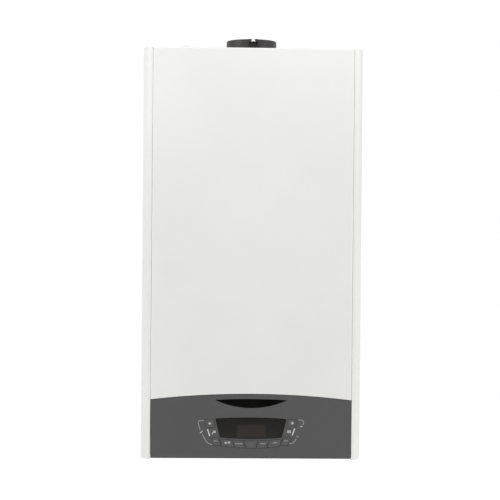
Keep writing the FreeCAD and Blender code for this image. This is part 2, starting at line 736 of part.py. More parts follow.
def key_faces():
    """Outlines of the nine keys by node name."""
    faces = {}
    flip = [(-x, z) for x, z in PLUS_KEY]
    flip_minus = [(-x, z) for x, z in MINUS_KEY]
    faces["key_dhw_plus"] = polygon_face(PLUS_KEY)
    faces["key_dhw_minus"] = polygon_face(MINUS_KEY)
    faces["key_heat_plus"] = polygon_face(flip)
    faces["key_heat_minus"] = polygon_face(flip_minus)
    right_edges = list(ROW_EDGES)
    left_edges = [(-mid, -lean) for mid, lean in reversed(ROW_EDGES)]
    edges = left_edges + right_edges
    for name, left, right in zip(ROW_KEYS, edges, edges[1:]):
        faces[name] = row_key_face(left, right)
    return {name: softened(face, KEY_CORNER_R) for name, face in faces.items()}


def make_key(face):
    """Key cap with a rounded front edge and a lug low on its back that keeps it behind the fascia."""
    cap = plate_from(face, FRONT - KEY_PROUD, KEY_BACK)
    front_edges = [edge for edge in cap.Edges if abs(edge.BoundBox.YMax - FRONT + KEY_PROUD) < 0.001]
    cap = cap.makeFillet(KEY_EDGE_R, front_edges)
    bounds = face.BoundBox
    middle = face.CenterOfMass
    half = (bounds.XMax - bounds.XMin) * KEY_LUG_SHARE / 2
    lug = box(middle.x - half, middle.x + half, KEY_BACK - KEY_LUG_T, KEY_BACK,
              bounds.ZMin - KEY_LUG, middle.z)
    return cap.fuse(lug).removeSplitter()


def make_fascia(keys):
    arch = arch_face(FASCIA_HALF, FASCIA_BOTTOM, FASCIA_TOP, ARCH_RISE, FRONT)
    tray = rounded(arch.extrude(V(0, TRAY_DEPTH, 0)), FASCIA_CORNER_R, V(0, 1, 0))
    inner_half = FASCIA_HALF - TRAY_WALL
    inner = arch_face(inner_half, FASCIA_BOTTOM + TRAY_WALL, FASCIA_TOP - TRAY_WALL, ARCH_RISE, FASCIA_BACK)
    tray = tray.cut(inner.extrude(V(0, TRAY_DEPTH, 0)))
    front_rim = []
    for edge in tray.Edges:
        box_y = edge.BoundBox
        if abs(box_y.YMin - FRONT) < 0.001 and abs(box_y.YMax - FRONT) < 0.001:
            front_rim.append(edge)
    tray = tray.makeFillet(FASCIA_EDGE_R, front_rim)
    for side in (-1, 1):
        outer = V(side * FASCIA_HALF, HINGE_Y, HINGE_Z)
        deep = V(side * (FLANGE_X - PIN_LENGTH - FIT), HINGE_Y, HINGE_Z)
        tray = tray.fuse(rod(LUG_R, deep, outer)).cut(rod(PIN_R + FIT, deep, outer))
        for z in (BOARD_LOW + POST_INSET, BOARD_TOP - POST_INSET):
            x = side * (BOARD_HALF_W - POST_INSET)
            tray = tray.fuse(rod(POST_R, V(x, FASCIA_BACK, z), V(x, BOARD_FRONT, z)))
    lens_hole = plate_from(grown(lens_face(), KEY_GAP), FRONT - 1, FASCIA_BACK)
    crescent_bed = plate_from(grown(crescent_face(), KEY_GAP), FRONT - 1, FRONT + CRESCENT_T)
    tray = tray.cut(lens_hole).cut(crescent_bed)
    for face in keys.values():
        tray = tray.cut(plate_from(grown(face, KEY_GAP), FRONT - 1, FASCIA_BACK))
    return tray.removeSplitter()


def make_badge_plate():
    return plate_from(crescent_face(), FRONT - LENS_PROUD, FRONT + CRESCENT_T)


def make_display_lens():
    pane = plate_from(lens_face(), FRONT - LENS_PROUD, FASCIA_BACK)
    rim = plate_from(grown(lens_face(), LENS_RIM), FASCIA_BACK, LENS_BACK)
    return pane.fuse(rim).removeSplitter()


def make_display_board(keys):
    board = box(-BOARD_HALF_W, BOARD_HALF_W, BOARD_FRONT, BOARD_FRONT + BOARD_T, BOARD_LOW, BOARD_TOP)
    screen = box(-LCD_HALF_W, LCD_HALF_W, LENS_BACK, BOARD_FRONT, LCD_LOW, LCD_HIGH)
    switches = []
    for face in keys.values():
        spot = face.CenterOfMass
        tip = V(spot.x, KEY_BACK + KEY_TRAVEL + SWITCH_GAP, spot.z)
        switches.append(rod(SWITCH_R, tip, V(spot.x, BOARD_FRONT, spot.z)))
    return board.fuse([screen] + switches).removeSplitter()


def make_electrical_box():
    lid = arch_face(BOX_HALF_W + BOX_FLANGE, FASCIA_BOTTOM + TRAY_WALL, FASCIA_TOP - TRAY_WALL,
                    ARCH_RISE, TRAY_BACK)
    lid = lid.extrude(V(0, TRAY_WALL, 0))
    front = TRAY_BACK + TRAY_WALL
    low = FASCIA_BOTTOM + 2 * TRAY_WALL
    section = [V(-BOX_HALF_W, front, low), V(-BOX_HALF_W, front, BOX_FRONT_TOP),
               V(-BOX_HALF_W, BOX_BACK, BOX_BACK_TOP), V(-BOX_HALF_W, BOX_BACK, low)]
    body = Part.Face(Part.makePolygon(section + section[:1])).extrude(V(2 * BOX_HALF_W, 0, 0))
    body = rounded(body, BOX_CORNER_R, V(1, 0, 0))
    groove_x = BOX_HALF_W - BOX_GROOVE_INSET
    for x in (-groove_x, groove_x):
        groove = box(x - BOX_GROOVE, x + BOX_GROOVE, BOX_BACK - BOX_GROOVE, BOX_BACK,
                     low - 1, BOX_FRONT_TOP)
        body = body.cut(groove)
    return lid.fuse(body).removeSplitter()


# Flue pieces on top

def make_flue_duct():
    low = V(0, FLUE_Y, SHELL_TOP)
    high = V(0, FLUE_Y, CASE_H + COLLAR_H - COLLAR_WALL)
    duct = ring(FLUE_BORE_R + FLUE_WALL, FLUE_BORE_R - FLUE_STEP, low, high)
    return duct.cut(rod(FLUE_BORE_R, high - V(0, 0, SOCKET_L), high))


def make_flue_collar():
    axis = V(0, FLUE_Y, 0)
    top = CASE_H + COLLAR_H
    profile = [V(NECK_R - COLLAR_WALL, 0, CASE_H - NECK_DROP), V(NECK_R, 0, CASE_H - NECK_DROP),
               V(NECK_R, 0, CASE_H), V(COLLAR_FLANGE_R, 0, CASE_H),
               V(COLLAR_FLANGE_R, 0, CASE_H + COLLAR_FLANGE_T),
               V(COLLAR_R, 0, CASE_H + 2 * COLLAR_FLANGE_T),
               V(COLLAR_R, 0, top - COLLAR_WALL / 2), V(COLLAR_R - COLLAR_WALL / 2, 0, top),
               V(COLLAR_R - COLLAR_WALL, 0, top), V(COLLAR_R - COLLAR_WALL, 0, CASE_H + COLLAR_FLANGE_T),
               V(NECK_R - COLLAR_WALL, 0, CASE_H)]
    collar = Part.Face(Part.makePolygon(profile + profile[:1])).revolve(V(0, 0, 0), V(0, 0, 1), 360)
    collar.translate(axis)
    front_y = FLUE_Y - COLLAR_R
    boss_half = POCKET_W / 2 + POCKET_LIP
    boss = box(PLUG_X - boss_half, PLUG_X + boss_half, front_y - POCKET_LIP, front_y + 2 * COLLAR_WALL,
               top - POCKET_DROP - POCKET_H - POCKET_LIP, top)
    keep_out = rod(COLLAR_R - COLLAR_WALL, axis + V(0, 0, CASE_H), axis + V(0, 0, top))
    collar = collar.fuse(boss.cut(keep_out))
    pocket = box(PLUG_X - POCKET_W / 2, PLUG_X + POCKET_W / 2, front_y - 2 * POCKET_LIP,
                 front_y + 2 * COLLAR_WALL, top - POCKET_DROP - POCKET_H, top - POCKET_DROP)
    plug_seat = rod(PLUG_STEM_R, V(PLUG_X, front_y - 2 * POCKET_LIP, PLUG_Z),
                    V(PLUG_X, front_y + 2 * COLLAR_WALL, PLUG_Z))
    return collar.cut(pocket).cut(plug_seat).removeSplitter()


def make_sampling_plug():
    """Wedge-shaped plug head with a notch in its lower edge and a stem that fills the sampling hole."""
    face_y = FLUE_Y - COLLAR_R - POCKET_LIP
    low = PLUG_Z - PLUG_H / 2
    high = PLUG_Z + PLUG_H / 2
    outline = [V(PLUG_X - PLUG_LOW_W / 2, face_y, low), V(PLUG_X - PLUG_NOTCH, face_y, low),
               V(PLUG_X, face_y, low + PLUG_NOTCH), V(PLUG_X + PLUG_NOTCH, face_y, low),
               V(PLUG_X + PLUG_LOW_W / 2, face_y, low), V(PLUG_X + PLUG_HIGH_W / 2, face_y, high),
               V(PLUG_X - PLUG_HIGH_W / 2, face_y, high)]
    head = Part.Face(Part.makePolygon(outline + outline[:1])).extrude(V(0, -PLUG_T, 0))
    stem = rod(PLUG_STEM_R, V(PLUG_X, face_y, PLUG_Z), V(PLUG_X, face_y + PLUG_STEM_L, PLUG_Z))
    return head.fuse(stem).removeSplitter()


def make_air_intake_cap():
    centre = V(INTAKE_X, FLUE_Y, CASE_H)
    disc = rod(INTAKE_CAP_R, centre, centre + V(0, 0, INTAKE_CAP_T))
    skirt = ring(INTAKE_R - FIT, INTAKE_R - COLLAR_WALL, centre - V(0, 0, 3 * INTAKE_CAP_T), centre)
    half = INTAKE_TAB_W / 2
    tab = box(INTAKE_X - half, INTAKE_X + half, FLUE_Y - COLLAR_WALL / 2, FLUE_Y + COLLAR_WALL / 2,
              CASE_H, CASE_H + INTAKE_TAB_H)
    tab = rounded(tab, half / 2, V(0, 1, 0))
    foot = box(INTAKE_X - half, INTAKE_X + half, FLUE_Y - COLLAR_WALL / 2, FLUE_Y + COLLAR_WALL / 2,
               CASE_H, CASE_H + INTAKE_TAB_H / 2)
    return disc.fuse([skirt, tab, foot]).removeSplitter()


# Exchanger, burner and fan

def make_expansion_vessel():
    back = -FRAME_SHEET - VESSEL_GAP
    high = VESSEL_LOW + VESSEL_H
    body = box(-VESSEL_HALF_W, VESSEL_HALF_W, back - VESSEL_T, back, VESSEL_LOW, high)
    body = body.makeFillet(VESSEL_R, body.Edges)
    seam_y = back - VESSEL_T / 2
    seam = box(-VESSEL_HALF_W - VESSEL_SEAM, VESSEL_HALF_W + VESSEL_SEAM, seam_y - VESSEL_SEAM / 2,
               seam_y + VESSEL_SEAM / 2, VESSEL_LOW - VESSEL_SEAM, high + VESSEL_SEAM)
    seam = rounded(seam, VESSEL_R, V(0, 1, 0))
    middle = VESSEL_LOW + VESSEL_H / 2
    pad = box(-VESSEL_PAD_W / 2, VESSEL_PAD_W / 2, back - VESSEL_R, -FRAME_SHEET,
              middle - VESSEL_PAD_H / 2, middle + VESSEL_PAD_H / 2)
    return body.fuse([seam, pad]).removeSplitter()


def make_exchanger_bracket():
    half = BRACKET_HALF_W
    outer = [(-half - BRACKET_FOOT, -FRAME_SHEET), (-half - BRACKET_FOOT, -FRAME_SHEET - BRACKET_T),
             (-half, -FRAME_SHEET - BRACKET_T), (-half, SHELL_BACK), (half, SHELL_BACK),
             (half, -FRAME_SHEET - BRACKET_T), (half + BRACKET_FOOT, -FRAME_SHEET - BRACKET_T),
             (half + BRACKET_FOOT, -FRAME_SHEET), (half - BRACKET_T, -FRAME_SHEET),
             (half - BRACKET_T, SHELL_BACK + BRACKET_T), (-half + BRACKET_T, SHELL_BACK + BRACKET_T),
             (-half + BRACKET_T, -FRAME_SHEET)]
    corners = [V(x, y, BRACKET_LOW) for x, y in outer]
    return Part.Face(Part.makePolygon(corners + corners[:1])).extrude(V(0, 0, BRACKET_H))


def make_exchanger_shell():
    """Can with a domed rear, a front rim and pressed beads, turned about its own axis along Y."""
    rear = SHELL_BACK
    rim = SHELL_R + SHELL_RIM
    wall = SHELL_WALL
    profile = [V(0, rear, 0), V(SHELL_R - wall, rear, 0), V(SHELL_R, rear - wall, 0),
               V(SHELL_R, SHELL_FRONT + SHELL_RIM_T, 0), V(rim, SHELL_FRONT + SHELL_RIM_T, 0),
               V(rim, SHELL_FRONT, 0), V(SHELL_R - wall, SHELL_FRONT, 0), V(SHELL_R - wall, rear - wall, 0),
               V(0, rear - wall, 0)]
    shell = Part.Face(Part.makePolygon(profile + profile[:1])).revolve(V(0, 0, 0), V(0, 1, 0), 360)
    for number in range(BEADS):
        y = rear - SHELL_L * (number + 1) / (BEADS + 1)
        bead = Part.makeTorus(SHELL_R - wall / 2, BEAD_R, V(0, y, 0), V(0, 1, 0))
        core = rod(SHELL_R - wall / 2, V(0, y - 2 * BEAD_R, 0), V(0, y + 2 * BEAD_R, 0))
        shell = shell.fuse(bead.cut(core))
    shell.translate(V(0, 0, SHELL_Z))
    inside = rod(SHELL_R - wall, V(0, SHELL_FRONT, SHELL_Z), V(0, rear - wall, SHELL_Z))
    stub = rod(FLUE_BORE_R + FLUE_WALL, V(0, FLUE_Y, SHELL_Z), V(0, FLUE_Y, SHELL_TOP))
    stubs = [stub.cut(inside)]
    for x in (-SHELL_PORT_X, SHELL_PORT_X):
        pipe_stub = rod(PIPE_R + STUB_WALL, V(x, SHELL_PORT_Y, SHELL_PORT_LOW), V(x, SHELL_PORT_Y, SHELL_Z))
        stubs.append(pipe_stub.cut(inside))
    drain = rod(DRAIN_R + STUB_WALL, V(DRAIN_X, DRAIN_Y, DRAIN_LOW), V(DRAIN_X, DRAIN_Y, SHELL_Z))
    stubs.append(drain.cut(inside))
    shell = shell.fuse(stubs)
    gas_way = rod(FLUE_BORE_R - FLUE_STEP, V(0, FLUE_Y, SHELL_Z), V(0, FLUE_Y, SHELL_TOP + 1))
    return shell.cut(gas_way).removeSplitter()


def make_exchanger_coil():
    """One unbroken helix of pipe, drawn as quarter-turn arcs."""
    first = SHELL_BACK - SHELL_WALL - COIL_TUBE_R - FIT

    def on_coil(turn):
        angle = turn * 2 * math.pi
        return V(COIL_R * math.cos(angle), first - turn * COIL_PITCH, SHELL_Z + COIL_R * math.sin(angle))

    arcs = []
    for quarter in range(4 * COIL_TURNS):
        turn = quarter / 4
        arcs.append(Part.Arc(on_coil(turn), on_coil(turn + 1 / 8), on_coil(turn + 1 / 4)).toShape())
    heading = arcs[0].tangentAt(arcs[0].FirstParameter)
    circle = Part.Wire(Part.makeCircle(COIL_TUBE_R, on_coil(0), heading))
    coil = Part.Wire(arcs).makePipeShell([circle], True, False)
    points = [on_coil(step / COIL_POINTS) for step in range(COIL_POINTS * COIL_TURNS + 1)]
    nearest = 2 * COIL_R
    for number, point in enumerate(points):
        for other in points[number + COIL_POINTS // 2:]:
            nearest = min(nearest, point.distanceToPoint(other))
    print("gap between coil turns", round(nearest - 2 * COIL_TUBE_R, 2))
    return coil


def make_burner_tube():
    front = V(0, SHELL_FRONT, SHELL_Z)
    end = V(0, SHELL_FRONT + BURNER_L, SHELL_Z)
    inside = rod(BURNER_R - BURNER_WALL, front, end - V(0, BURNER_WALL, 0))
    return rod(BURNER_R, front, end).cut(inside)


def make_burner_door():
    door = rod(DOOR_R, V(0, DOOR_FRONT, SHELL_Z), V(0, SHELL_FRONT, SHELL_Z))
    way = rod(BURNER_R - BURNER_WALL, V(0, DOOR_FRONT, SHELL_Z), V(0, SHELL_FRONT, SHELL_Z))
    studs = []
    stud_circle = DOOR_R - 2 * STUD_R
    for number in range(DOOR_STUDS):
        angle = (number + 0.5) * 2 * math.pi / DOOR_STUDS
        place = V(stud_circle * math.cos(angle), DOOR_FRONT, SHELL_Z + stud_circle * math.sin(angle))
        studs.append(rod(STUD_R, place - V(0, 2 * STUD_R, 0), place))
        studs.append(rod(1.8 * STUD_R, place - V(0, STUD_R, 0), place))
    hole = rod(ELECTRODE_R, V(ELECTRODE_X, DOOR_FRONT - 1, SHELL_Z + ELECTRODE_Z),
               V(ELECTRODE_X, SHELL_FRONT + 1, SHELL_Z + ELECTRODE_Z))
    return door.fuse(studs).cut(way).cut(hole).removeSplitter()


def make_ignition_electrode():
    start = V(ELECTRODE_X, DOOR_FRONT - 5 * ELECTRODE_R, SHELL_Z + ELECTRODE_Z)
    door = V(ELECTRODE_X, DOOR_FRONT, SHELL_Z + ELECTRODE_Z)
    end = V(ELECTRODE_X, SHELL_FRONT + 3 * ELECTRODE_R, SHELL_Z + ELECTRODE_Z)
    collar = rod(1.7 * ELECTRODE_R, door - V(0, ELECTRODE_R, 0), door)
    wire = rod(ELECTRODE_R / 4, end, end + V(0, 4 * ELECTRODE_R, 0))
    return rod(ELECTRODE_R, start, end).fuse([collar, wire]).removeSplitter()


def make_burner_manifold():
    """Cast dome on the burner door with a flat duct down to the fan's outlet."""
    dome = Part.makeCone(DOME_R, DOME_R * 0.7, DOME_DEPTH, V(0, DOOR_FRONT, SHELL_Z), V(0, -1, 0))
    left = FAN_OUTLET_X - FAN_OUTLET_W / 2
    right = FAN_OUTLET_X + FAN_OUTLET_W / 2
    low = FAN_Z + FAN_OUTLET_H
    duct = polygon_bar([(left, low), (right, low), (DOME_R * 0.62, SHELL_Z + DOME_R * 0.3),
                        (-DOME_R * 0.3, SHELL_Z - DOME_R * 0.62)], FAN_FRONT, DUCT_BACK)
    duct = rounded(duct, SILENCER_R / 2, V(0, 1, 0))
    way = rod(BURNER_R - BURNER_WALL, V(0, DOOR_FRONT - DOME_DEPTH / 2, SHELL_Z), V(0, DOOR_FRONT, SHELL_Z))
    return dome.fuse(duct).cut(way).removeSplitter()


def make_fan_housing():
    centre_front = V(FAN_X, FAN_FRONT, FAN_Z)
    centre_back = V(FAN_X, FAN_BACK, FAN_Z)
    left = FAN_OUTLET_X - FAN_OUTLET_W / 2
    right = FAN_OUTLET_X + FAN_OUTLET_W / 2
    drum = rod(FAN_R, centre_front, centre_back)
    outlet = box(left, right, FAN_FRONT, DUCT_BACK, FAN_Z, FAN_Z + FAN_OUTLET_H)
    inner_front = centre_front + V(0, FAN_WALL, 0)
    inner_back = centre_back - V(0, FAN_WALL, 0)
    chamber = rod(FAN_R - FAN_WALL, inner_front, inner_back)
    way = box(left + FAN_WALL, right - FAN_WALL, FAN_FRONT + FAN_WALL, DUCT_BACK - FAN_WALL,
              FAN_Z, FAN_Z + FAN_OUTLET_H + 1)
    housing = drum.fuse(outlet).cut(chamber).cut(way)
    inlet = rod(FAN_INLET_R, inner_back, centre_back)
    shaft_hole = rod(SHAFT_R + 1, centre_front, inner_front)
    return housing.cut(inlet).cut(shaft_hole).removeSplitter()


def make_fan_impeller():
    front = FAN_FRONT + FAN_WALL + IMPELLER_GAP
    back = FAN_BACK - FAN_WALL - IMPELLER_GAP
    disc = rod(IMPELLER_R, V(0, front, 0), V(0, front + FAN_WALL, 0))
    hub = rod(3 * SHAFT_R, V(0, front, 0), V(0, back, 0))
    shaft = rod(SHAFT_R, V(0, FAN_FRONT - MOTOR_L / 2, 0), V(0, front, 0))
    shroud = ring(IMPELLER_R, FAN_INLET_R, V(0, back - FAN_WALL, 0), V(0, back, 0))
    blades = []
    for number in range(BLADES):
        blade = box(FAN_INLET_R, IMPELLER_R - 1, front, back, -BLADE_T / 2, BLADE_T / 2)
        blade.rotate(V(FAN_INLET_R, 0, 0), V(0, 1, 0), BLADE_LEAN)
        blade.rotate(V(0, 0, 0), V(0, 1, 0), 360 * number / BLADES)
        blades.append(blade.common(rod(IMPELLER_R, V(0, front, 0), V(0, back, 0))))
    wheel = disc.fuse([hub, shaft, shroud] + blades).removeSplitter()
    return wheel.translated(V(FAN_X, 0, FAN_Z))


def make_fan_motor():
    back = V(FAN_X, FAN_FRONT, FAN_Z)
    nose = V(FAN_X, FAN_FRONT - MOTOR_L, FAN_Z)
    motor = rod(MOTOR_R, nose, back)
    nose_edges = [edge for edge in motor.Edges if abs(edge.BoundBox.YMax - nose.y) < 0.01]
    motor = motor.makeChamfer(MOTOR_L / 6, nose_edges)
    plug = box(FAN_X - MOTOR_R / 2, FAN_X + MOTOR_R / 2, nose.y + MOTOR_L / 3, back.y,
               FAN_Z - 1.25 * MOTOR_R, FAN_Z)
    shaft_way = rod(SHAFT_R + FIT, V(FAN_X, FAN_FRONT - MOTOR_L / 2 - 1, FAN_Z), back)
    return motor.fuse(plug).cut(shaft_way).removeSplitter()


def make_air_gas_mixer():
    waist_y = (FAN_BACK + MIXER_BACK) / 2
    neck_r = MIXER_WAIST_R + MIXER_NECK_WALL
    profile = [V(0, FAN_BACK, 0), V(MIXER_R, FAN_BACK, 0), V(MIXER_R, FAN_BACK + MIXER_RIM, 0),
               V(neck_r, waist_y - MIXER_NECK_L / 2, 0), V(neck_r, waist_y + MIXER_NECK_L / 2, 0),
               V(MIXER_R, MIXER_BACK - MIXER_RIM, 0), V(MIXER_R, MIXER_BACK, 0), V(0, MIXER_BACK, 0)]
    mixer = Part.Face(Part.makePolygon(profile + profile[:1])).revolve(V(0, 0, 0), V(0, 1, 0), 360)
    bore_profile = [V(0, FAN_BACK, 0), V(FAN_INLET_R, FAN_BACK, 0), V(MIXER_WAIST_R, waist_y, 0),
                    V(FAN_INLET_R, MIXER_BACK, 0), V(0, MIXER_BACK, 0)]
    bore = Part.Face(Part.makePolygon(bore_profile + bore_profile[:1])).revolve(V(0, 0, 0), V(0, 1, 0), 360)
    inlet = rod(GAS_FEED_R + GAS_FEED_WALL, V(-MIXER_R, waist_y, 0), V(0, waist_y, 0))
    return mixer.fuse(inlet).cut(bore).translated(V(FAN_X, 0, FAN_Z)).removeSplitter()


def make_intake_silencer():
    right = INNER_HALF - FRAME_SHEET - SILENCER_R
    foot = box(FAN_X - MIXER_R + 2, right, MIXER_BACK, MIXER_BACK + SILENCER_T,
               FAN_Z - SILENCER_FOOT_H / 2, FAN_Z + SILENCER_FOOT_H / 2)
    tower = box(right - SILENCER_W, right, MIXER_BACK, MIXER_BACK + SILENCER_T, FAN_Z, SILENCER_TOP)
    body = rounded(foot.fuse(tower).removeSplitter(), SILENCER_R, V(0, 1, 0))
    mouth = rod(FAN_INLET_R, V(FAN_X, MIXER_BACK, FAN_Z), V(FAN_X, MIXER_BACK + SILENCER_T / 2, FAN_Z))
    return body.cut(mouth)


# Gas line

def make_gas_valve():
    body = box(-VALVE_HALF_W, VALVE_HALF_W, VALVE_FRONT, VALVE_BACK, VALVE_LOW, VALVE_TOP)
    body = rounded(body, VALVE_CORNER_R, V(0, 0, 1))
    coils = []
    for x in (-VALVE_HALF_W / 2, VALVE_HALF_W / 2):
        spot = V(x, VALVE_FRONT, VALVE_TOP - VALVE_COIL_R - VALVE_CORNER_R)
        coils.append(rod(VALVE_COIL_R, spot - V(0, VALVE_COIL_L, 0), spot))
        coils.append(rod(VALVE_COIL_R / 3, spot - V(0, 1.3 * VALVE_COIL_L, 0), spot))
    return body.fuse(coils).removeSplitter()


def port(x, y, radius, top, low=PORT_LOW):
    """Threaded pipe end below the bottom plate, with a slimmer neck up through it."""
    foot = V(x, y, low)
    shoulder = foot + V(0, 0, THREAD_L)
    neck = rod(NECK_SHARE * radius, shoulder, V(x, y, top))
    bore = rod(NECK_SHARE * radius - 2 * FRAME_SHEET, foot, shoulder)
    return rod(radius, foot, shoulder).fuse(neck).cut(bore)


def make_gas_inlet_pipe():
    shoulder = V(0, PORT_Y, PORT_LOW + THREAD_L)
    top = V(0, PORT_Y, VALVE_LOW)
    seat = V(0, PORT_Y, BASE_TOP)
    flange = rod(GAS_R + 3 * BASE_HOLE_GAP, seat, seat + V(0, 0, 2 * FRAME_SHEET))
    corners = []
    for number in range(7):
        angle = number * math.pi / 3
        corners.append(top + V(math.cos(angle), math.sin(angle), 0) * 1.2 * GAS_R)
    nut = Part.Face(Part.makePolygon(corners)).extrude(V(0, 0, -1.4 * GAS_R))
    return rod(PIPE_R, shoulder, top).fuse([port(0, PORT_Y, GAS_R, BASE_TOP), flange, nut]).removeSplitter()


def make_gas_feed_pipe():
    waist_y = (FAN_BACK + MIXER_BACK) / 2
    route = [V(GAS_FEED_X, GAS_FEED_Y, VALVE_TOP), V(GAS_FEED_X, GAS_FEED_Y, FAN_Z),
             V(GAS_FEED_X, waist_y, FAN_Z), V(FAN_X - MIXER_R, waist_y, FAN_Z)]
    return bent_pipe(route, GAS_FEED_R, PIPE_BEND)


# Water side

def make_block(side, tap_x):
    """Moulded valve block with its two wall connections and its ports to the plate exchanger."""
    inner = side * BLOCK_IN
    outer = side * BLOCK_OUT
    body = box(min(inner, outer), max(inner, outer), BLOCK_FRONT, BLOCK_BACK, BASE_TOP, BLOCK_TOP)
    body = rounded(body, BLOCK_R, V(0, 0, 1))
    parts = []
    for x, radius in ((side * FLOW_X, HEAT_R), (side * tap_x, TAP_R)):
        parts.append(port(x, PORT_Y, radius, BASE_TOP))
    for z in (PLATE_LOW + 1.5 * PLATE_PORT_R, PLATE_LOW + PLATE_H - 1.5 * PLATE_PORT_R):
        x = side * PLATE_PORT_X
        parts.append(rod(PLATE_PORT_R, V(x, PLATE_BACK, z), V(x, BLOCK_FRONT, z)))
        parts.append(rod(1.4 * PLATE_PORT_R, V(x, BLOCK_FRONT - PLATE_PORT_R, z), V(x, BLOCK_FRONT, z)))
    return body.fuse(parts).removeSplitter()


def make_flow_block():
    well = V(DIVERTER_X, DIVERTER_Y, BLOCK_TOP)
    bore = rod(SPINDLE_R + FIT, well - V(0, 0, SPINDLE_DEPTH), well)
    return make_block(-1, WATER_X).cut(bore)


def make_return_block():
    return make_block(1, WATER_X)


def make_plate_exchanger():
    step = (PLATE_BACK - PLATE_FRONT) / (2 * PLATE_RIDGES + 1)
    high = PLATE_LOW + PLATE_H
    inset = step / 2
    core = box(-PLATE_HALF_W + inset, PLATE_HALF_W - inset, PLATE_FRONT, PLATE_BACK,
               PLATE_LOW + inset, high - inset)
    plates = []
    for number in range(PLATE_RIDGES + 1):
        y = PLATE_FRONT + 2 * number * step
        plates.append(box(-PLATE_HALF_W, PLATE_HALF_W, y, y + step, PLATE_LOW, high))
    return core.fuse(plates).removeSplitter()


def make_diverter_motor():
    low = BLOCK_TOP + DIVERTER_LIFT
    foot = V(DIVERTER_X, DIVERTER_Y, low)
    body = rod(DIVERTER_R, foot, foot + V(0, 0, DIVERTER_H))
    cap = Part.makeCone(DIVERTER_R, 0.8 * DIVERTER_R, DIVERTER_H / 6,
                        foot + V(0, 0, DIVERTER_H), V(0, 0, 1))
    legs = []
    for side in (-1, 1):
        x = DIVERTER_X + side * 0.7 * DIVERTER_R
        half = DIVERTER_LEG_T / 2
        leg_front = DIVERTER_Y - DIVERTER_LEG_W / 2
        legs.append(box(x - half, x + half, leg_front, leg_front + DIVERTER_LEG_W, BLOCK_TOP, low + half))
    bore = rod(SPINDLE_R + FIT, foot, foot + V(0, 0, SPINDLE_GRIP + SPINDLE_TRAVEL + FIT))
    return body.fuse([cap] + legs).cut(bore).removeSplitter()


def make_diverter_spindle():
    foot = V(DIVERTER_X, DIVERTER_Y, BLOCK_TOP - SPINDLE_DEPTH + FIT)
    top = V(DIVERTER_X, DIVERTER_Y, BLOCK_TOP + DIVERTER_LIFT + SPINDLE_GRIP)
    seat = V(DIVERTER_X, DIVERTER_Y, BLOCK_TOP + SPINDLE_R)
    disc = rod(2 * SPINDLE_R, seat, seat + V(0, 0, SPINDLE_R))
    return rod(SPINDLE_R, foot, top).fuse(disc).removeSplitter()


def make_pump_housing():
    front = V(PUMP_X, PUMP_FRONT, PUMP_Z)
    back = V(PUMP_X, PUMP_BACK, PUMP_Z)
    drum = rod(PUMP_R, front, back)
    foot = rod(1.5 * PIPE_R, V(PUMP_X, RETURN_Y, BLOCK_TOP), V(PUMP_X, RETURN_Y, PUMP_Z))
    neck = rod(1.3 * PIPE_R, V(PUMP_X, RETURN_Y, PUMP_Z), V(PUMP_X, RETURN_Y, PUMP_TOP))
    chamber = rod(PUMP_R - PUMP_WALL, front, back - V(0, PUMP_WALL, 0))
    return drum.fuse([foot, neck]).cut(chamber).removeSplitter()


def make_pump_motor():
    front = V(PUMP_X, PUMP_NOSE, PUMP_Z)
    back = V(PUMP_X, PUMP_FRONT, PUMP_Z)
    body = rod(PUMP_MOTOR_R, front, back)
    nose_edges = [edge for edge in body.Edges if abs(edge.BoundBox.YMax - PUMP_NOSE) < 0.01]
    body = body.makeChamfer(PUMP_WALL, nose_edges)
    flange = rod(PUMP_R, back - V(0, PUMP_WALL, 0), back)
    half = PUMP_MOTOR_R * 0.6
    case = box(PUMP_X - half, PUMP_X + half, PUMP_NOSE + PUMP_WALL, PUMP_FRONT - 2 * PUMP_WALL,
               PUMP_Z - PUMP_MOTOR_R - PUMP_WALL, PUMP_Z)
    well = rod(ROTOR_R + 1, V(PUMP_X, PUMP_NOSE + 2 * PUMP_WALL, PUMP_Z), back)
    bearing = rod(SHAFT_R + FIT, V(PUMP_X, PUMP_NOSE + PUMP_WALL, PUMP_Z), back)
    return body.fuse([flange, case]).cut(well).cut(bearing).removeSplitter()


def make_pump_rotor():
    rotor = rod(ROTOR_R, V(PUMP_X, PUMP_NOSE + 2 * PUMP_WALL + 1, PUMP_Z),
                V(PUMP_X, PUMP_FRONT + PUMP_WALL, PUMP_Z))
    shaft = rod(SHAFT_R, V(PUMP_X, PUMP_NOSE + PUMP_WALL + FIT, PUMP_Z),
                V(PUMP_X, PUMP_BACK - 2 * PUMP_WALL, PUMP_Z))
    wheel = rod(PUMP_R - 2 * PUMP_WALL, V(PUMP_X, PUMP_FRONT + PUMP_WALL, PUMP_Z),
                V(PUMP_X, PUMP_BACK - 2 * PUMP_WALL, PUMP_Z))
    return rotor.fuse([shaft, wheel]).removeSplitter()


def make_flow_pipe():
    route = [V(-SHELL_PORT_X, SHELL_PORT_Y, SHELL_PORT_LOW), V(-SHELL_PORT_X, SHELL_PORT_Y, PIPE_TURN_Z),
             V(FLOW_PIPE_X, FLOW_PIPE_Y, PIPE_TURN_Z), V(FLOW_PIPE_X, FLOW_PIPE_Y, BLOCK_TOP)]
    return bent_pipe(route, PIPE_R, PIPE_BEND)


def make_return_pipe():
    route = [V(PUMP_X, RETURN_Y, PUMP_TOP), V(PUMP_X, RETURN_Y, PIPE_TURN_Z),
             V(SHELL_PORT_X, SHELL_PORT_Y, PIPE_TURN_Z), V(SHELL_PORT_X, SHELL_PORT_Y, SHELL_PORT_LOW)]
    return bent_pipe(route, PIPE_R, PIPE_BEND)


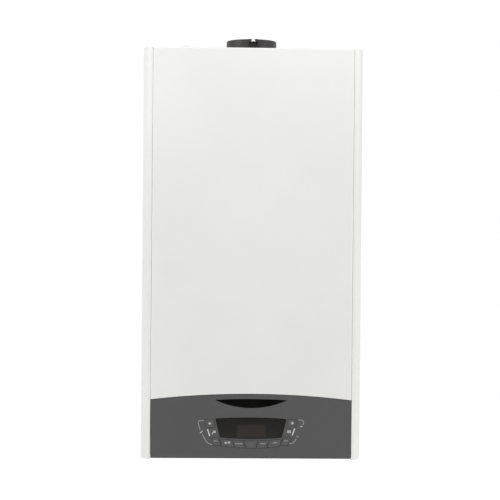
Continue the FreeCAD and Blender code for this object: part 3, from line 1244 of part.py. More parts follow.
def fluted_knob(radius, foot, axis, stem_end):
    """Knob with grip flutes round its rim and a stem that goes into its valve."""
    knob = rod(radius, foot, foot + axis)
    across = V(1, 0, 0)
    side = axis.cross(across).normalize()
    for number in range(KNOB_FLUTES):
        angle = 2 * math.pi * number / KNOB_FLUTES
        spot = foot + (across * math.cos(angle) + side * math.sin(angle)) * (radius + FLUTE_R / 2)
        knob = knob.cut(rod(FLUTE_R, spot, spot + axis))
    return knob.fuse(rod(KNOB_STEM_R, stem_end, foot)).removeSplitter()


def make_relief_valve():
    back = V(RELIEF_X, BLOCK_FRONT, RELIEF_Z)
    nose = back - V(0, RELIEF_L, 0)
    body = rod(RELIEF_R, nose, back)
    collar = rod(1.25 * RELIEF_R, back - V(0, RELIEF_L / 3, 0), back)
    bore = rod(KNOB_STEM_R + FIT, nose, nose + V(0, RELIEF_L / 3, 0))
    return body.fuse(collar).cut(bore).removeSplitter()


def make_relief_knob():
    nose = V(RELIEF_X, BLOCK_FRONT - RELIEF_L, RELIEF_Z)
    return fluted_knob(KNOB_R, nose - V(0, FIT, 0), V(0, -KNOB_L, 0), nose + V(0, RELIEF_L / 3 - FIT, 0))


def make_filling_tap():
    top = V(FILL_X, FILL_Y, BASE_TOP)
    low = V(FILL_X, FILL_Y, FILL_LOW)
    bore = rod(KNOB_STEM_R + FIT, low, low + V(0, 0, FILL_KNOB_L / 2))
    return rod(FILL_R, low, top).cut(bore)


def make_filling_knob():
    low = V(FILL_X, FILL_Y, FILL_LOW)
    return fluted_knob(FILL_KNOB_R, low - V(0, 0, FIT), V(0, 0, -FILL_KNOB_L),
                       low + V(0, 0, FILL_KNOB_L / 2 - FIT))


def make_condensate_trap():
    foot = V(TRAP_X, TRAP_Y, TRAP_LOW)
    top = V(TRAP_X, TRAP_Y, TRAP_LOW + TRAP_H)
    body = rod(TRAP_R, foot, top)
    cup = rod(TRAP_CUP_R, foot, foot + V(0, 0, TRAP_H / 3))
    skirt = rod(1.5 * TRAP_OUT_R, V(TRAP_X, TRAP_Y, BASE_TOP), foot)
    outlet = port(TRAP_X, TRAP_Y, TRAP_OUT_R, BASE_TOP, TRAP_OUT_LOW)
    return body.fuse([cup, skirt, outlet]).removeSplitter()


def make_condensate_tube():
    route = [V(DRAIN_X, DRAIN_Y, DRAIN_LOW), V(DRAIN_X, DRAIN_Y, DRAIN_TURN_HIGH),
             V(TRAP_X, TRAP_Y, DRAIN_TURN_LOW), V(TRAP_X, TRAP_Y, TRAP_LOW + TRAP_H)]
    return bent_pipe(route, DRAIN_R, PIPE_BEND)


def build():
    """Every piece of the boiler by node name."""
    keys = key_faces()
    side_panel = make_side_panel()
    pin = make_hinge_pin()
    pieces = {
        "rear_frame": make_rear_frame(),
        "right_side_panel": side_panel,
        "left_side_panel": mirrored(side_panel),
        "top_plate": make_top_plate(),
        "bottom_plate": make_bottom_plate(),
        "cross_rail": make_cross_rail(),
        "hinge_pins": Part.makeCompound([pin, mirrored(pin)]),
        "front_panel": make_front_panel(),
        "front_panel_screws": make_front_panel_screws(),
        "fascia": make_fascia(keys),
        "badge_plate": make_badge_plate(),
        "display_lens": make_display_lens(),
        "display_board": make_display_board(keys),
        "electrical_box": make_electrical_box(),
        "flue_duct": make_flue_duct(),
        "flue_collar": make_flue_collar(),
        "sampling_plug": make_sampling_plug(),
        "air_intake_cap": make_air_intake_cap(),
        "expansion_vessel": make_expansion_vessel(),
        "exchanger_bracket": make_exchanger_bracket(),
        "exchanger_shell": make_exchanger_shell(),
        "exchanger_coil": make_exchanger_coil(),
        "burner_tube": make_burner_tube(),
        "burner_door": make_burner_door(),
        "ignition_electrode": make_ignition_electrode(),
        "burner_manifold": make_burner_manifold(),
        "fan_housing": make_fan_housing(),
        "fan_impeller": make_fan_impeller(),
        "fan_motor": make_fan_motor(),
        "air_gas_mixer": make_air_gas_mixer(),
        "intake_silencer": make_intake_silencer(),
        "gas_valve": make_gas_valve(),
        "gas_inlet_pipe": make_gas_inlet_pipe(),
        "gas_feed_pipe": make_gas_feed_pipe(),
        "flow_block": make_flow_block(),
        "return_block": make_return_block(),
        "plate_exchanger": make_plate_exchanger(),
        "diverter_motor": make_diverter_motor(),
        "diverter_spindle": make_diverter_spindle(),
        "pump_housing": make_pump_housing(),
        "pump_motor": make_pump_motor(),
        "pump_rotor": make_pump_rotor(),
        "flow_pipe": make_flow_pipe(),
        "return_pipe": make_return_pipe(),
        "relief_valve": make_relief_valve(),
        "relief_knob": make_relief_knob(),
        "filling_tap": make_filling_tap(),
        "filling_knob": make_filling_knob(),
        "condensate_trap": make_condensate_trap(),
        "condensate_tube": make_condensate_tube(),
    }
    for name, face in keys.items():
        pieces[name] = make_key(face)
    return pieces


os.makedirs("parts", exist_ok=True)
for node, shape in build().items():
    shape.translated(V(0, 0, -HANG_Z)).exportStep("parts/" + node + ".step")
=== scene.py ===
import json
import math

import bmesh
import bpy
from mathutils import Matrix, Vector


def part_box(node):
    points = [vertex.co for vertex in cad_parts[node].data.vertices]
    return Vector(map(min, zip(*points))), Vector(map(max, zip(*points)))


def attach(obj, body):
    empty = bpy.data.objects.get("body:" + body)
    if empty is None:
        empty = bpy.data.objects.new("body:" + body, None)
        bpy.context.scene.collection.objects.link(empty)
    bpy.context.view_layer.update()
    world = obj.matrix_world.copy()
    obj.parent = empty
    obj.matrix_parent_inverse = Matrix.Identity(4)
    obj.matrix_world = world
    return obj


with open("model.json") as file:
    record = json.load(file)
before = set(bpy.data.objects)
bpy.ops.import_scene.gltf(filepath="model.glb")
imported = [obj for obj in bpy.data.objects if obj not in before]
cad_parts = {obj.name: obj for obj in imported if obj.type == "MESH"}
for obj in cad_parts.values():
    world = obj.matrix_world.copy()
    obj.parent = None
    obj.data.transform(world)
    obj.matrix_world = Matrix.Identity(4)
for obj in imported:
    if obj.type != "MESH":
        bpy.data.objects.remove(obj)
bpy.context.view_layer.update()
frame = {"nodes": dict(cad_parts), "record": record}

MM = 0.001

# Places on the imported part, in metres
NODES = frame["nodes"]
CASING_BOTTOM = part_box("right_side_panel")[0][2]
SIDE_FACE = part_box("right_side_panel")[1][0]
TOP_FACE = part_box("top_plate")[1][2]
FRONT_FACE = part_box("front_panel")[0][1]
SEAM_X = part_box("front_panel")[1][0]
FASCIA_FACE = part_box("fascia")[0][1]
KEY_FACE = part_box("key_power")[0][1]
COLLAR_LOW, COLLAR_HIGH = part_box("flue_collar")
DUCT_LOW, DUCT_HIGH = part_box("flue_duct")
FLUE_MIDDLE = ((COLLAR_LOW[0] + COLLAR_HIGH[0]) / 2, (DUCT_LOW[1] + DUCT_HIGH[1]) / 2)
COLLAR_TOP = COLLAR_HIGH[2]

# Painted light in the folds beside the front seams, to lift their shade: the first depth of each pair has the
# plain coat, the second the pale one
FOLD_REACH = 2.3 * MM
FOLD_DEPTHS = ((0.0, 0.5 * MM), (6.0 * MM, 2.2 * MM))
SEAM_LIGHT_WHITE = (0.94, 0.94, 0.925)

# Screen behind the display glass, along each axis
SCREEN_MIDDLE = {"X": 0.8 * MM, "Z": CASING_BOTTOM + 51.8 * MM}
SCREEN_HALF = {"X": 25.5 * MM, "Z": 11.8 * MM}
SCREEN_FADE = 3.5 * MM
SCREEN_TONE = (0.0252, 0.0192, 0.0158)
GLASS_TONE = (0.0095, 0.0088, 0.0072)

# Thickness of the prints, in metres
PRINT_PROUD = 0.06 * MM
PRINT_SUNK = 0.03 * MM

# Printed marks, in millimetres from the casing's middle and bottom
SIGN_SIZE = 5.3
SIGN_LINE = 1.3
MODE_DOTS = [(-45.6, 30.3), (-39.2, 30.7)]
MODE_DOT_R = 1.7
MODE_SLASH = [(-43.2, 29.3), (-41.8, 31.7)]
MODE_LINE = 0.6
POWER_X = 0.4
POWER_Z = 28.0
POWER_R = 2.6
POWER_OPEN = (125, 415)
POWER_BAR = (28.6, 31.2)
POWER_LINE = 0.7
TAP_PLACE = (-66.9, 49.2)
TAP_OUTLINE = [(3.4, -1.4), (3.4, 1.9), (2.6, 1.9), (2.6, 1.1), (1.4, 1.1), (1.4, 2.1), (2.6, 2.1),
               (2.6, 3.0), (-0.8, 3.0), (-0.8, 2.1), (0.4, 2.1), (0.4, 1.1), (-0.9, 1.1), (-2.2, 0.7),
               (-2.9, -0.5), (-3.1, -2.6), (-1.7, -2.6), (-1.5, -1.1), (-0.9, -0.6), (2.6, -0.6), (2.6, -1.4)]
DROP_PLACE = (-69.3, 45.2)
DROP_R = 0.5
RADIATOR_X = 69.2
RADIATOR_LOW = 49.0
RADIATOR_HIGH = 52.8
RADIATOR_FINS = (-2.5, -0.85, 0.85, 2.5)
FIN_LINE = 1.1
LEFT_BAR = [(-78.2, 54.0), (-74.6, 43.0)]
RIGHT_BAR = [(79.2, 56.1), (75.2, 45.0)]
BAR_LINE = 2.1
LEFT_BRACKET = [[(-85.3, 70.4), (-91.6, 70.2), (-94.4, 69.4), (-95.6, 66.8), (-92.0, 53.9)],
                [(-87.6, 44.6), (-80.6, 32.6), (-77.2, 29.0), (-70.1, 26.9)]]
RIGHT_BRACKET = [[(86.2, 72.5), (91.6, 72.1), (94.8, 70.2), (95.7, 67.4), (94.4, 63.4)],
                 [(82.9, 42.6), (86.3, 41.4)],
                 [(82.0, 38.0), (79.7, 33.5), (76.0, 30.4), (70.2, 29.2)]]
BRACKET_LINE = 1.15
LEFT_TICK = [(-91.4, 47.8), (-87.6, 51.2)]
RIGHT_TICK = [(90.0, 60.3), (92.8, 60.8)]
TICK_LINE = 1.4

# Steps of the round forms
LINE_END_STEPS = 5
POWER_STEPS = 20
DOT_STEPS = 16
SCREW_STEPS = 48
SEAL_STEPS = 96
FLOOR_STEPS = 48

# Pan-head screws, in metres, with the shape of the head as shares of its radius and height
COLLAR_SCREWS = 4
COLLAR_SCREW_R = 3.4 * MM
COLLAR_SCREW_CIRCLE = 53.2 * MM
COLLAR_SCREW_RISE = 4.4 * MM
COLLAR_SLOPE = math.atan2(3.0, 10.5)
SIDE_SCREW_R = 4.0 * MM
SIDE_SCREW_Y = -11.0 * MM
SIDE_SCREW_HEIGHTS = (0.10, 0.40, 0.70)
HEAD_HEIGHT = 0.55
HEAD_PROFILE = [(1.0, -0.1), (1.0, 0.35), (0.93, 0.62), (0.80, 0.83), (0.62, 0.96)]
RECESS_MOUTH = (0.5, 0.15)
RECESS_FLOOR = (0.36, 0.11)
RECESS_FLOOR_LEVEL = 0.35

# Section of the seal in the air duct: radius and depth under the collar's top, in millimetres
SEAL_SECTION = [(33.4, 16.5), (44.9, 16.5), (44.9, 5.2), (44.1, 4.0), (42.9, 4.8), (42.4, 7.5),
                (41.2, 10.0), (37.0, 10.8), (35.4, 9.6), (34.6, 6.8), (33.4, 6.2)]

# Floor, light and camera, in metres, radians and watts
FLOOR_PLACE = (0.0, -0.16, -1.0)
FLOOR_RADII = (1.2, 6.0)
FLOOR_TONE = 0.8
NEAR_RADIUS = 0.4
NEAR_GLOW = 0.28
FAR_RADIUS = 1.5
FAR_GLOW = 0.515
FILL = 0.615
CARD_Y = -3.6
CARD_HALF_WIDTH = 1.3
CARD_LOW = -1.7
CARD_HIGH = 1.1
CAMERA_PLACE = (-0.0965, -3.319, -0.2872)
CAMERA_DIP = 0.0078
CAMERA_ROLL = -0.0089
CAMERA_TURN = -0.0306
CAMERA_LENS_MM = 119.51
CAMERA_SENSOR_MM = 36.0

# Sockets of a colour mix node
MIX_UNDER = 6
MIX_OVER = 7
MIX_RESULT = 2

FLOAT = "NodeSocketFloat"
VECTOR = "NodeSocketVector"


# Node helpers

def add(tree, kind, **settings):
    """New node with its settings, and its inputs set by name from the dictionary called inputs."""
    node = tree.nodes.new(kind)
    for name, value in settings.pop("inputs", {}).items():
        node.inputs[name].default_value = value
    for name, value in settings.items():
        setattr(node, name, value)
    return node


def new_group(name, inputs, outputs):
    """Empty shader node group with float and vector inputs and float outputs."""
    tree = bpy.data.node_groups.new(name, "ShaderNodeTree")
    for label, kind, value in inputs:
        socket = tree.interface.new_socket(label, in_out="INPUT", socket_type=kind)
        if value is not None:
            socket.default_value = value
    for label in outputs:
        tree.interface.new_socket(label, in_out="OUTPUT", socket_type=FLOAT)
    return tree, add(tree, "NodeGroupInput"), add(tree, "NodeGroupOutput")


def per_metre(tree, start):
    """How many times the group's size in millimetres goes into a metre."""
    density = add(tree, "ShaderNodeMath", operation="DIVIDE", inputs={0: 1.0 / MM})
    tree.links.new(start.outputs["Size mm"], density.inputs[1])
    return density.outputs[0]


def low_to_high(tree, start, value, **settings):
    """The value spread between the group's low and high inputs."""
    spread = add(tree, "ShaderNodeMapRange", **settings)
    tree.links.new(value, spread.inputs["Value"])
    tree.links.new(start.outputs["Low"], spread.inputs["To Min"])
    tree.links.new(start.outputs["High"], spread.inputs["To Max"])
    return spread.outputs["Result"]


# Effects that several finishes share

def grain_group():
    """Fine even grain of moulded plastic or sprayed paint: a height for bump and a speckle value."""
    tree, start, end = new_group(
        "Fine grain", [("Place", VECTOR, None), ("Size mm", FLOAT, 0.5), ("Softness", FLOAT, 0.5)],
        ["Height", "Speckle"])
    noise = add(tree, "ShaderNodeTexNoise", inputs={"Detail": 3.0})
    tree.links.new(start.outputs["Place"], noise.inputs["Vector"])
    tree.links.new(per_metre(tree, start), noise.inputs["Scale"])
    tree.links.new(start.outputs["Softness"], noise.inputs["Roughness"])
    speckle = add(tree, "ShaderNodeMapRange", inputs={"From Min": 0.42, "From Max": 0.66})
    tree.links.new(noise.outputs["Fac"], speckle.inputs["Value"])
    tree.links.new(noise.outputs["Fac"], end.inputs["Height"])
    tree.links.new(speckle.outputs["Result"], end.inputs["Speckle"])
    return tree


def mottle_group():
    """Broad soft change over a surface, from a low to a high value."""
    tree, start, end = new_group(
        "Broad mottle",
        [("Place", VECTOR, None), ("Size mm", FLOAT, 80.0), ("Low", FLOAT, 0.0), ("High", FLOAT, 1.0)],
        ["Value"])
    noise = add(tree, "ShaderNodeTexNoise", inputs={"Detail": 4.0, "Roughness": 0.55})
    tree.links.new(start.outputs["Place"], noise.inputs["Vector"])
    tree.links.new(per_metre(tree, start), noise.inputs["Scale"])
    spread = low_to_high(tree, start, noise.outputs["Fac"], interpolation_type="SMOOTHSTEP",
                         inputs={"From Min": 0.3, "From Max": 0.7})
    tree.links.new(spread, end.inputs["Value"])
    return tree


def streak_group():
    """Long fine lines of drawn or rolled metal; Stretch gives the squeeze along each axis."""
    tree, start, end = new_group(
        "Drawn streaks",
        [("Place", VECTOR, None), ("Stretch", VECTOR, (900.0, 900.0, 12.0)),
         ("Low", FLOAT, 0.0), ("High", FLOAT, 1.0)],
        ["Value", "Height"])
    squeeze = add(tree, "ShaderNodeVectorMath", operation="MULTIPLY")
    tree.links.new(start.outputs["Place"], squeeze.inputs[0])
    tree.links.new(start.outputs["Stretch"], squeeze.inputs[1])
    noise = add(tree, "ShaderNodeTexNoise", inputs={"Scale": 1.0, "Detail": 5.0, "Roughness": 0.6})
    tree.links.new(squeeze.outputs["Vector"], noise.inputs["Vector"])
    spread = low_to_high(tree, start, noise.outputs["Fac"], inputs={"From Min": 0.3, "From Max": 0.7})
    tree.links.new(spread, end.inputs["Value"])
    tree.links.new(noise.outputs["Fac"], end.inputs["Height"])
    return tree


def spangle_group():
    """Crystal flowers of hot-dip zinc: each wavy cell has its own value."""
    tree, start, end = new_group(
        "Zinc spangle",
        [("Place", VECTOR, None), ("Size mm", FLOAT, 9.0), ("Low", FLOAT, 0.0), ("High", FLOAT, 1.0)],
        ["Value"])
    bend = add(tree, "ShaderNodeTexNoise", inputs={"Scale": 160.0, "Detail": 2.0})
    tree.links.new(start.outputs["Place"], bend.inputs["Vector"])
    shift = add(tree, "ShaderNodeVectorMath", operation="MULTIPLY_ADD", inputs={1: (0.005, 0.005, 0.005)})
    tree.links.new(bend.outputs["Color"], shift.inputs[0])
    tree.links.new(start.outputs["Place"], shift.inputs[2])
    cells = add(tree, "ShaderNodeTexVoronoi", feature="F1")
    tree.links.new(shift.outputs["Vector"], cells.inputs["Vector"])
    tree.links.new(per_metre(tree, start), cells.inputs["Scale"])
    shade = add(tree, "ShaderNodeSeparateColor")
    tree.links.new(cells.outputs["Color"], shade.inputs["Color"])
    tree.links.new(low_to_high(tree, start, shade.outputs["Red"]), end.inputs["Value"])
    return tree


def edge_group():
    """Mask of outer and inner edges, from how far a rounded normal leaves the face's own normal."""
    # the same edge mask gives real edge wear on cast metal and painted shade on the keys
    tree, start, end = new_group("Edge wear and shade", [("Width mm", FLOAT, 0.8)], ["Mask"])
    width = add(tree, "ShaderNodeMath", operation="MULTIPLY", inputs={1: MM})
    tree.links.new(start.outputs["Width mm"], width.inputs[0])
    soft = add(tree, "ShaderNodeBevel", samples=6)
    tree.links.new(width.outputs[0], soft.inputs["Radius"])
    plain = add(tree, "ShaderNodeNewGeometry")
    same = add(tree, "ShaderNodeVectorMath", operation="DOT_PRODUCT")
    tree.links.new(soft.outputs["Normal"], same.inputs[0])
    tree.links.new(plain.outputs["Normal"], same.inputs[1])
    mask = add(tree, "ShaderNodeMapRange", interpolation_type="SMOOTHSTEP",
               inputs={"From Min": 0.995, "From Max": 0.86})
    tree.links.new(same.outputs["Value"], mask.inputs["Value"])
    tree.links.new(mask.outputs["Result"], end.inputs["Mask"])
    return tree


GRAIN = grain_group()
MOTTLE = mottle_group()
STREAKS = streak_group()
SPANGLE = spangle_group()
EDGE_WEAR_AND_SHADE = edge_group()


class Finish:
    """A material under construction: one Principled shader and the place of each point on its piece."""

    def __init__(self, name, colour, roughness, metallic=0.0, specular=0.5):
        self.material = bpy.data.materials.new(name)
        self.material.use_nodes = True
        self.tree = self.material.node_tree
        self.tree.nodes.clear()
        self.shader = add(self.tree, "ShaderNodeBsdfPrincipled",
                          inputs={"Base Color": (*colour, 1.0), "Roughness": roughness,
                                  "Metallic": metallic, "Specular IOR Level": specular})
        output = add(self.tree, "ShaderNodeOutputMaterial")
        self.join(self.shader.outputs["BSDF"], output.inputs["Surface"])
        self.place = add(self.tree, "ShaderNodeTexCoord").outputs["Object"]

    def join(self, output, target):
        self.tree.links.new(output, target)

    def feed(self, socket, output):
        self.join(output, self.shader.inputs[socket])

    def group(self, tree, **inputs):
        """Shared effect with its own values; an underscore in a value's name stands for a space."""
        node = add(self.tree, "ShaderNodeGroup", node_tree=tree)
        for label, value in inputs.items():
            node.inputs[label.replace("_", " ")].default_value = value
        if "Place" in node.inputs:
            self.join(self.place, node.inputs["Place"])
        return node

    def axes(self):
        """The place of each point as separate X, Y and Z outputs."""
        split = add(self.tree, "ShaderNodeSeparateXYZ")
        self.join(self.place, split.inputs["Vector"])
        return split.outputs

    def maths(self, operation, *values):
        """Result of a maths node on outputs and plain numbers."""
        node = add(self.tree, "ShaderNodeMath", operation=operation)
        for socket, value in zip(node.inputs, values):
            if isinstance(value, bpy.types.NodeSocket):
                self.join(value, socket)
            else:
                socket.default_value = value
        return node.outputs[0]

    def fade(self, value, none, full):
        """Soft mask that is 0 where the value is none and 1 where it is full."""
        node = add(self.tree, "ShaderNodeMapRange", interpolation_type="SMOOTHSTEP",
                   inputs={"From Min": none, "From Max": full})
        self.join(value, node.inputs["Value"])
        return node.outputs["Result"]

    def tint(self, value, low, high):
        """Base colour that runs from the low to the high colour as the value goes from 0 to 1."""
        ramp = add(self.tree, "ShaderNodeValToRGB")
        for stop, colour in zip(ramp.color_ramp.elements, (low, high)):
            stop.color = (*colour, 1.0)
        self.join(value, ramp.inputs["Fac"])
        self.skin = ramp.outputs["Color"]
        self.feed("Base Color", self.skin)

    def overlay(self, mask, colour):
        """Lay a colour over the tinted skin by the mask."""
        mix = add(self.tree, "ShaderNodeMix", data_type="RGBA", inputs={MIX_OVER: (*colour, 1.0)})
        self.join(mask, mix.inputs["Factor"])
        self.join(self.skin, mix.inputs[MIX_UNDER])
        self.feed("Base Color", mix.outputs[MIX_RESULT])

    def uneven_gloss(self, size_mm, low, high):
        """Roughness that drifts softly between two values."""
        drift = self.group(MOTTLE, Size_mm=size_mm, Low=low, High=high)
        self.feed("Roughness", drift.outputs["Value"])

    def bump(self, height, depth_mm):
        node = add(self.tree, "ShaderNodeBump", inputs={"Strength": 1.0, "Distance": depth_mm * MM})
        self.join(height, node.inputs["Height"])
        self.feed("Normal", node.outputs["Normal"])


def scaled(colour, share):
    return tuple(channel * share for channel in colour)


# Kinds of finish

def painted_sheet(name, colour, roughness, peel_mm=1.4, peel_depth=0.02, mottle=0.02):
    """Sprayed enamel on sheet: orange peel and a soft drift in tone and gloss."""
    finish = Finish(name, colour, roughness)
    drift = finish.group(MOTTLE, Size_mm=260.0)
    finish.tint(drift.outputs["Value"], scaled(colour, 1.0 - mottle), scaled(colour, 1.0 + mottle))
    finish.uneven_gloss(40.0, roughness - 0.04, roughness + 0.05)
    peel = finish.group(GRAIN, Size_mm=peel_mm, Softness=0.35)
    finish.bump(peel.outputs["Height"], peel_depth)
    return finish


def casing_enamel(name, colour, roughness):
    """White enamel of the casing, painted paler in the folds along the front seams as painted light that
    lifts their shade.
    """
    finish = painted_sheet(name, colour, roughness)
    place = finish.axes()
    seam_light_mask = finish.maths("COMPARE", finish.maths("ABSOLUTE", place["X"]), SEAM_X, FOLD_REACH)
    for plain, pale in FOLD_DEPTHS:
        depth = finish.fade(place["Y"], FRONT_FACE + plain, FRONT_FACE + pale)
        seam_light_mask = finish.maths("MULTIPLY", seam_light_mask, depth)
    # painted light: the seam folds are made paler so the shade in the seam grooves looks lighter
    finish.overlay(seam_light_mask, SEAM_LIGHT_WHITE)
    return finish


def moulded_plastic(name, colour, roughness, grain_mm=0.35, depth=0.03, speckle=0.08, specular=0.5):
    """Injection-moulded plastic with an eroded fine grain and a faint drift in gloss."""
    finish = Finish(name, colour, roughness, specular=specular)
    grain = finish.group(GRAIN, Size_mm=grain_mm, Softness=0.6)
    finish.tint(grain.outputs["Speckle"], scaled(colour, 1.0 - speckle), scaled(colour, 1.0 + speckle))
    finish.uneven_gloss(25.0, roughness - 0.05, roughness + 0.05)
    finish.bump(grain.outputs["Height"], depth)
    return finish


def outlined_plastic(name, colour, roughness):
    """Moulded key plastic with painted shade darkening its edges and the shut lines between the keys."""
    finish = moulded_plastic(name, colour, roughness, speckle=0.05)
    edges = finish.group(EDGE_WEAR_AND_SHADE, Width_mm=1.4)
    # painted shade: the key edges are darkened to 0.35 of the colour, standing for the shade in the gaps
    # between keys
    finish.overlay(edges.outputs["Mask"], scaled(colour, 0.35))
    return finish


def drawn_metal(name, colour, low, high, stretch, shade=0.1):
    """Drawn, rolled or turned metal with lines along one direction and a soft change in tone."""
    finish = Finish(name, colour, low, metallic=1.0)
    lines = finish.group(STREAKS, Stretch=stretch, Low=low, High=high)
    finish.feed("Roughness", lines.outputs["Value"])
    drift = finish.group(MOTTLE, Size_mm=35.0)
    finish.tint(drift.outputs["Value"], scaled(colour, 1.0 - shade), scaled(colour, 1.0 + 0.3 * shade))
    finish.bump(lines.outputs["Height"], 0.01)
    return finish


def cast_metal(name, colour, roughness):
    """Die-cast metal: sandy skin, darker in patches, brighter on handled edges."""
    finish = Finish(name, colour, roughness, metallic=1.0)
    patches = finish.group(MOTTLE, Size_mm=18.0)
    finish.tint(patches.outputs["Value"], scaled(colour, 0.78), colour)
    edges = finish.group(EDGE_WEAR_AND_SHADE, Width_mm=0.9)
    finish.overlay(edges.outputs["Mask"], scaled(colour, 1.2))
    finish.uneven_gloss(6.0, roughness - 0.08, roughness + 0.1)
    grain = finish.group(GRAIN, Size_mm=0.9, Softness=0.7)
    finish.bump(grain.outputs["Height"], 0.09)
    return finish


def zinc_sheet(name, colour, size_mm):
    """Hot-dip zinc on sheet steel with crystal flowers that differ in tone and gloss."""
    finish = Finish(name, colour, 0.4, metallic=1.0)
    flowers = finish.group(SPANGLE, Size_mm=size_mm)
    finish.tint(flowers.outputs["Value"], scaled(colour, 0.88), scaled(colour, 1.04))
    gloss = finish.group(SPANGLE, Size_mm=size_mm, Low=0.32, High=0.5)
    finish.feed("Roughness", gloss.outputs["Value"])
    grain = finish.group(GRAIN, Size_mm=1.1, Softness=0.5)
    finish.bump(grain.outputs["Height"], 0.03)
    return finish


def display_glass(name):
    """Tinted glass over the display: the screen behind it shows as a faintly lighter window."""
    finish = Finish(name, GLASS_TONE, 0.12, specular=0.3)
    place = finish.axes()
    masks = []
    for axis, half in SCREEN_HALF.items():
        offset = finish.maths("SUBTRACT", place[axis], SCREEN_MIDDLE[axis])
        distance = finish.maths("ABSOLUTE", offset)
        masks.append(finish.fade(distance, half + SCREEN_FADE, half - SCREEN_FADE))
    finish.tint(finish.maths("MULTIPLY", *masks), GLASS_TONE, SCREEN_TONE)
    finish.uneven_gloss(30.0, 0.10, 0.16)
    return finish


def gloss_black(name):
    """Piano-black inlay with the slightest haze."""
    finish = Finish(name, (0.003, 0.003, 0.003), 0.1, specular=0.15)
    haze = finish.group(MOTTLE, Size_mm=22.0)
    finish.tint(haze.outputs["Value"], (0.0022, 0.0022, 0.0022), (0.0036, 0.0036, 0.0033))
    finish.uneven_gloss(50.0, 0.08, 0.13)
    return finish


def circuit_board(name):
    """Green solder mask with raised copper tracks under it."""
    finish = Finish(name, (0.012, 0.085, 0.03), 0.35)
    tracks = add(finish.tree, "ShaderNodeTexBrick", offset=0.37, squash=1.6,
                 inputs={"Scale": 260.0, "Mortar Size": 0.012, "Mortar Smooth": 0.1,
                         "Color1": (0.010, 0.075, 0.027, 1), "Color2": (0.013, 0.09, 0.032, 1),
                         "Mortar": (0.03, 0.16, 0.05, 1)})
    turned = add(finish.tree, "ShaderNodeMapping", inputs={"Rotation": (math.pi / 2, 0, 0)})
    finish.join(finish.place, turned.inputs["Vector"])
    finish.join(turned.outputs["Vector"], tracks.inputs["Vector"])
    finish.feed("Base Color", tracks.outputs["Color"])
    finish.bump(tracks.outputs["Fac"], 0.03)
    return finish


def glazed_ceramic(name):
    """Cream glaze on the electrode's insulator, uneven in tone."""
    finish = Finish(name, (0.78, 0.76, 0.70), 0.25)
    tone = finish.group(MOTTLE, Size_mm=5.0)
    finish.tint(tone.outputs["Value"], (0.72, 0.69, 0.62), (0.80, 0.78, 0.73))
    return finish


def print_ink(name, colour):
    """Silk-screened ink: matt and a little uneven."""
    finish = Finish(name, colour, 0.55)
    tone = finish.group(GRAIN, Size_mm=0.25, Softness=0.5)
    finish.tint(tone.outputs["Speckle"], scaled(colour, 0.9), scaled(colour, 1.05))
    return finish.material


# Finishes by the record's material slots

FINISHES = {
    "casing_white": casing_enamel("white_enamel", (0.819, 0.8185, 0.801), 0.36),
    "galvanised": zinc_sheet("galvanised_sheet", (0.62, 0.63, 0.64), 9.0),
    "fascia_grey": moulded_plastic("fascia_plastic", (0.0752, 0.0746, 0.0757), 0.5, speckle=0.06),
    "plate_black": gloss_black("gloss_black_inlay"),
    "display_dark": display_glass("tinted_display_glass"),
    "key_grey": outlined_plastic("key_plastic", (0.083, 0.0818, 0.0845), 0.46),
    "board_green": circuit_board("green_circuit_board"),
    "box_grey": moulded_plastic("box_plastic", (0.075, 0.078, 0.082), 0.5, grain_mm=0.6, depth=0.05),
    "flue_grey": moulded_plastic("flue_plastic", (0.034, 0.0305, 0.0305), 0.45, specular=0.3),
    "plug_white": moulded_plastic("white_plastic", (0.78, 0.775, 0.76), 0.42, speckle=0.02),
    "vessel_red": painted_sheet("red_powder_coat", (0.33, 0.018, 0.014), 0.42, peel_mm=0.9,
                                peel_depth=0.06, mottle=0.1),
    "stainless": drawn_metal("stainless_steel", (0.60, 0.595, 0.585), 0.22, 0.40, (900.0, 900.0, 14.0)),
    "cast_alloy": cast_metal("cast_alloy", (0.60, 0.60, 0.61), 0.46),
    "motor_black": moulded_plastic("black_plastic", (0.018, 0.018, 0.0195), 0.48, grain_mm=0.5,
                                   depth=0.05, speckle=0.15),
    "plastic_grey": moulded_plastic("filled_grey_plastic", (0.16, 0.165, 0.17), 0.46, grain_mm=0.8,
                                    depth=0.05, speckle=0.2),
    "brass": drawn_metal("machined_brass", (0.66, 0.44, 0.17), 0.22, 0.36, (1400.0, 1400.0, 60.0),
                         shade=0.15),
    "copper": drawn_metal("drawn_copper", (0.70, 0.34, 0.20), 0.2, 0.38, (700.0, 700.0, 20.0), shade=0.3),
    "knob_red": moulded_plastic("red_knob_plastic", (0.42, 0.014, 0.012), 0.4),
    "knob_blue": moulded_plastic("blue_knob_plastic", (0.012, 0.05, 0.26), 0.4),
    "zinc": drawn_metal("zinc_plated_steel", (0.66, 0.66, 0.65), 0.2, 0.34, (500.0, 500.0, 500.0)),
    "ceramic": glazed_ceramic("glazed_ceramic"),
}

for row in frame["record"]["subparts"]:
    mesh = NODES[row["node"]].data
    mesh.materials.clear()
    mesh.materials.append(FINISHES[row["material_slot"]].material)


# Outlines and meshes

def full_turn(steps):
    """Angles of even steps round a circle."""
    return [2 * math.pi * step / steps for step in range(steps)]


def object_from(name, form, material):
    """Object in the scene whose mesh is the form, which is used up."""
    mesh = bpy.data.meshes.new(name)
    form.to_mesh(mesh)
    form.free()
    mesh.materials.append(material)
    made = bpy.data.objects.new(name, mesh)
    bpy.context.scene.collection.objects.link(made)
    return made


def shifted(outline, place):
    return [(place[0] + x, place[1] + z) for x, z in outline]


def arc_points(centre, radius, start, stop, steps):
    """Points of an arc between two angles in degrees."""
    points = []
    for step in range(steps + 1):
        angle = math.radians(start + (stop - start) * step / steps)
        points.append((centre[0] + radius * math.cos(angle), centre[1] + radius * math.sin(angle)))
    return points


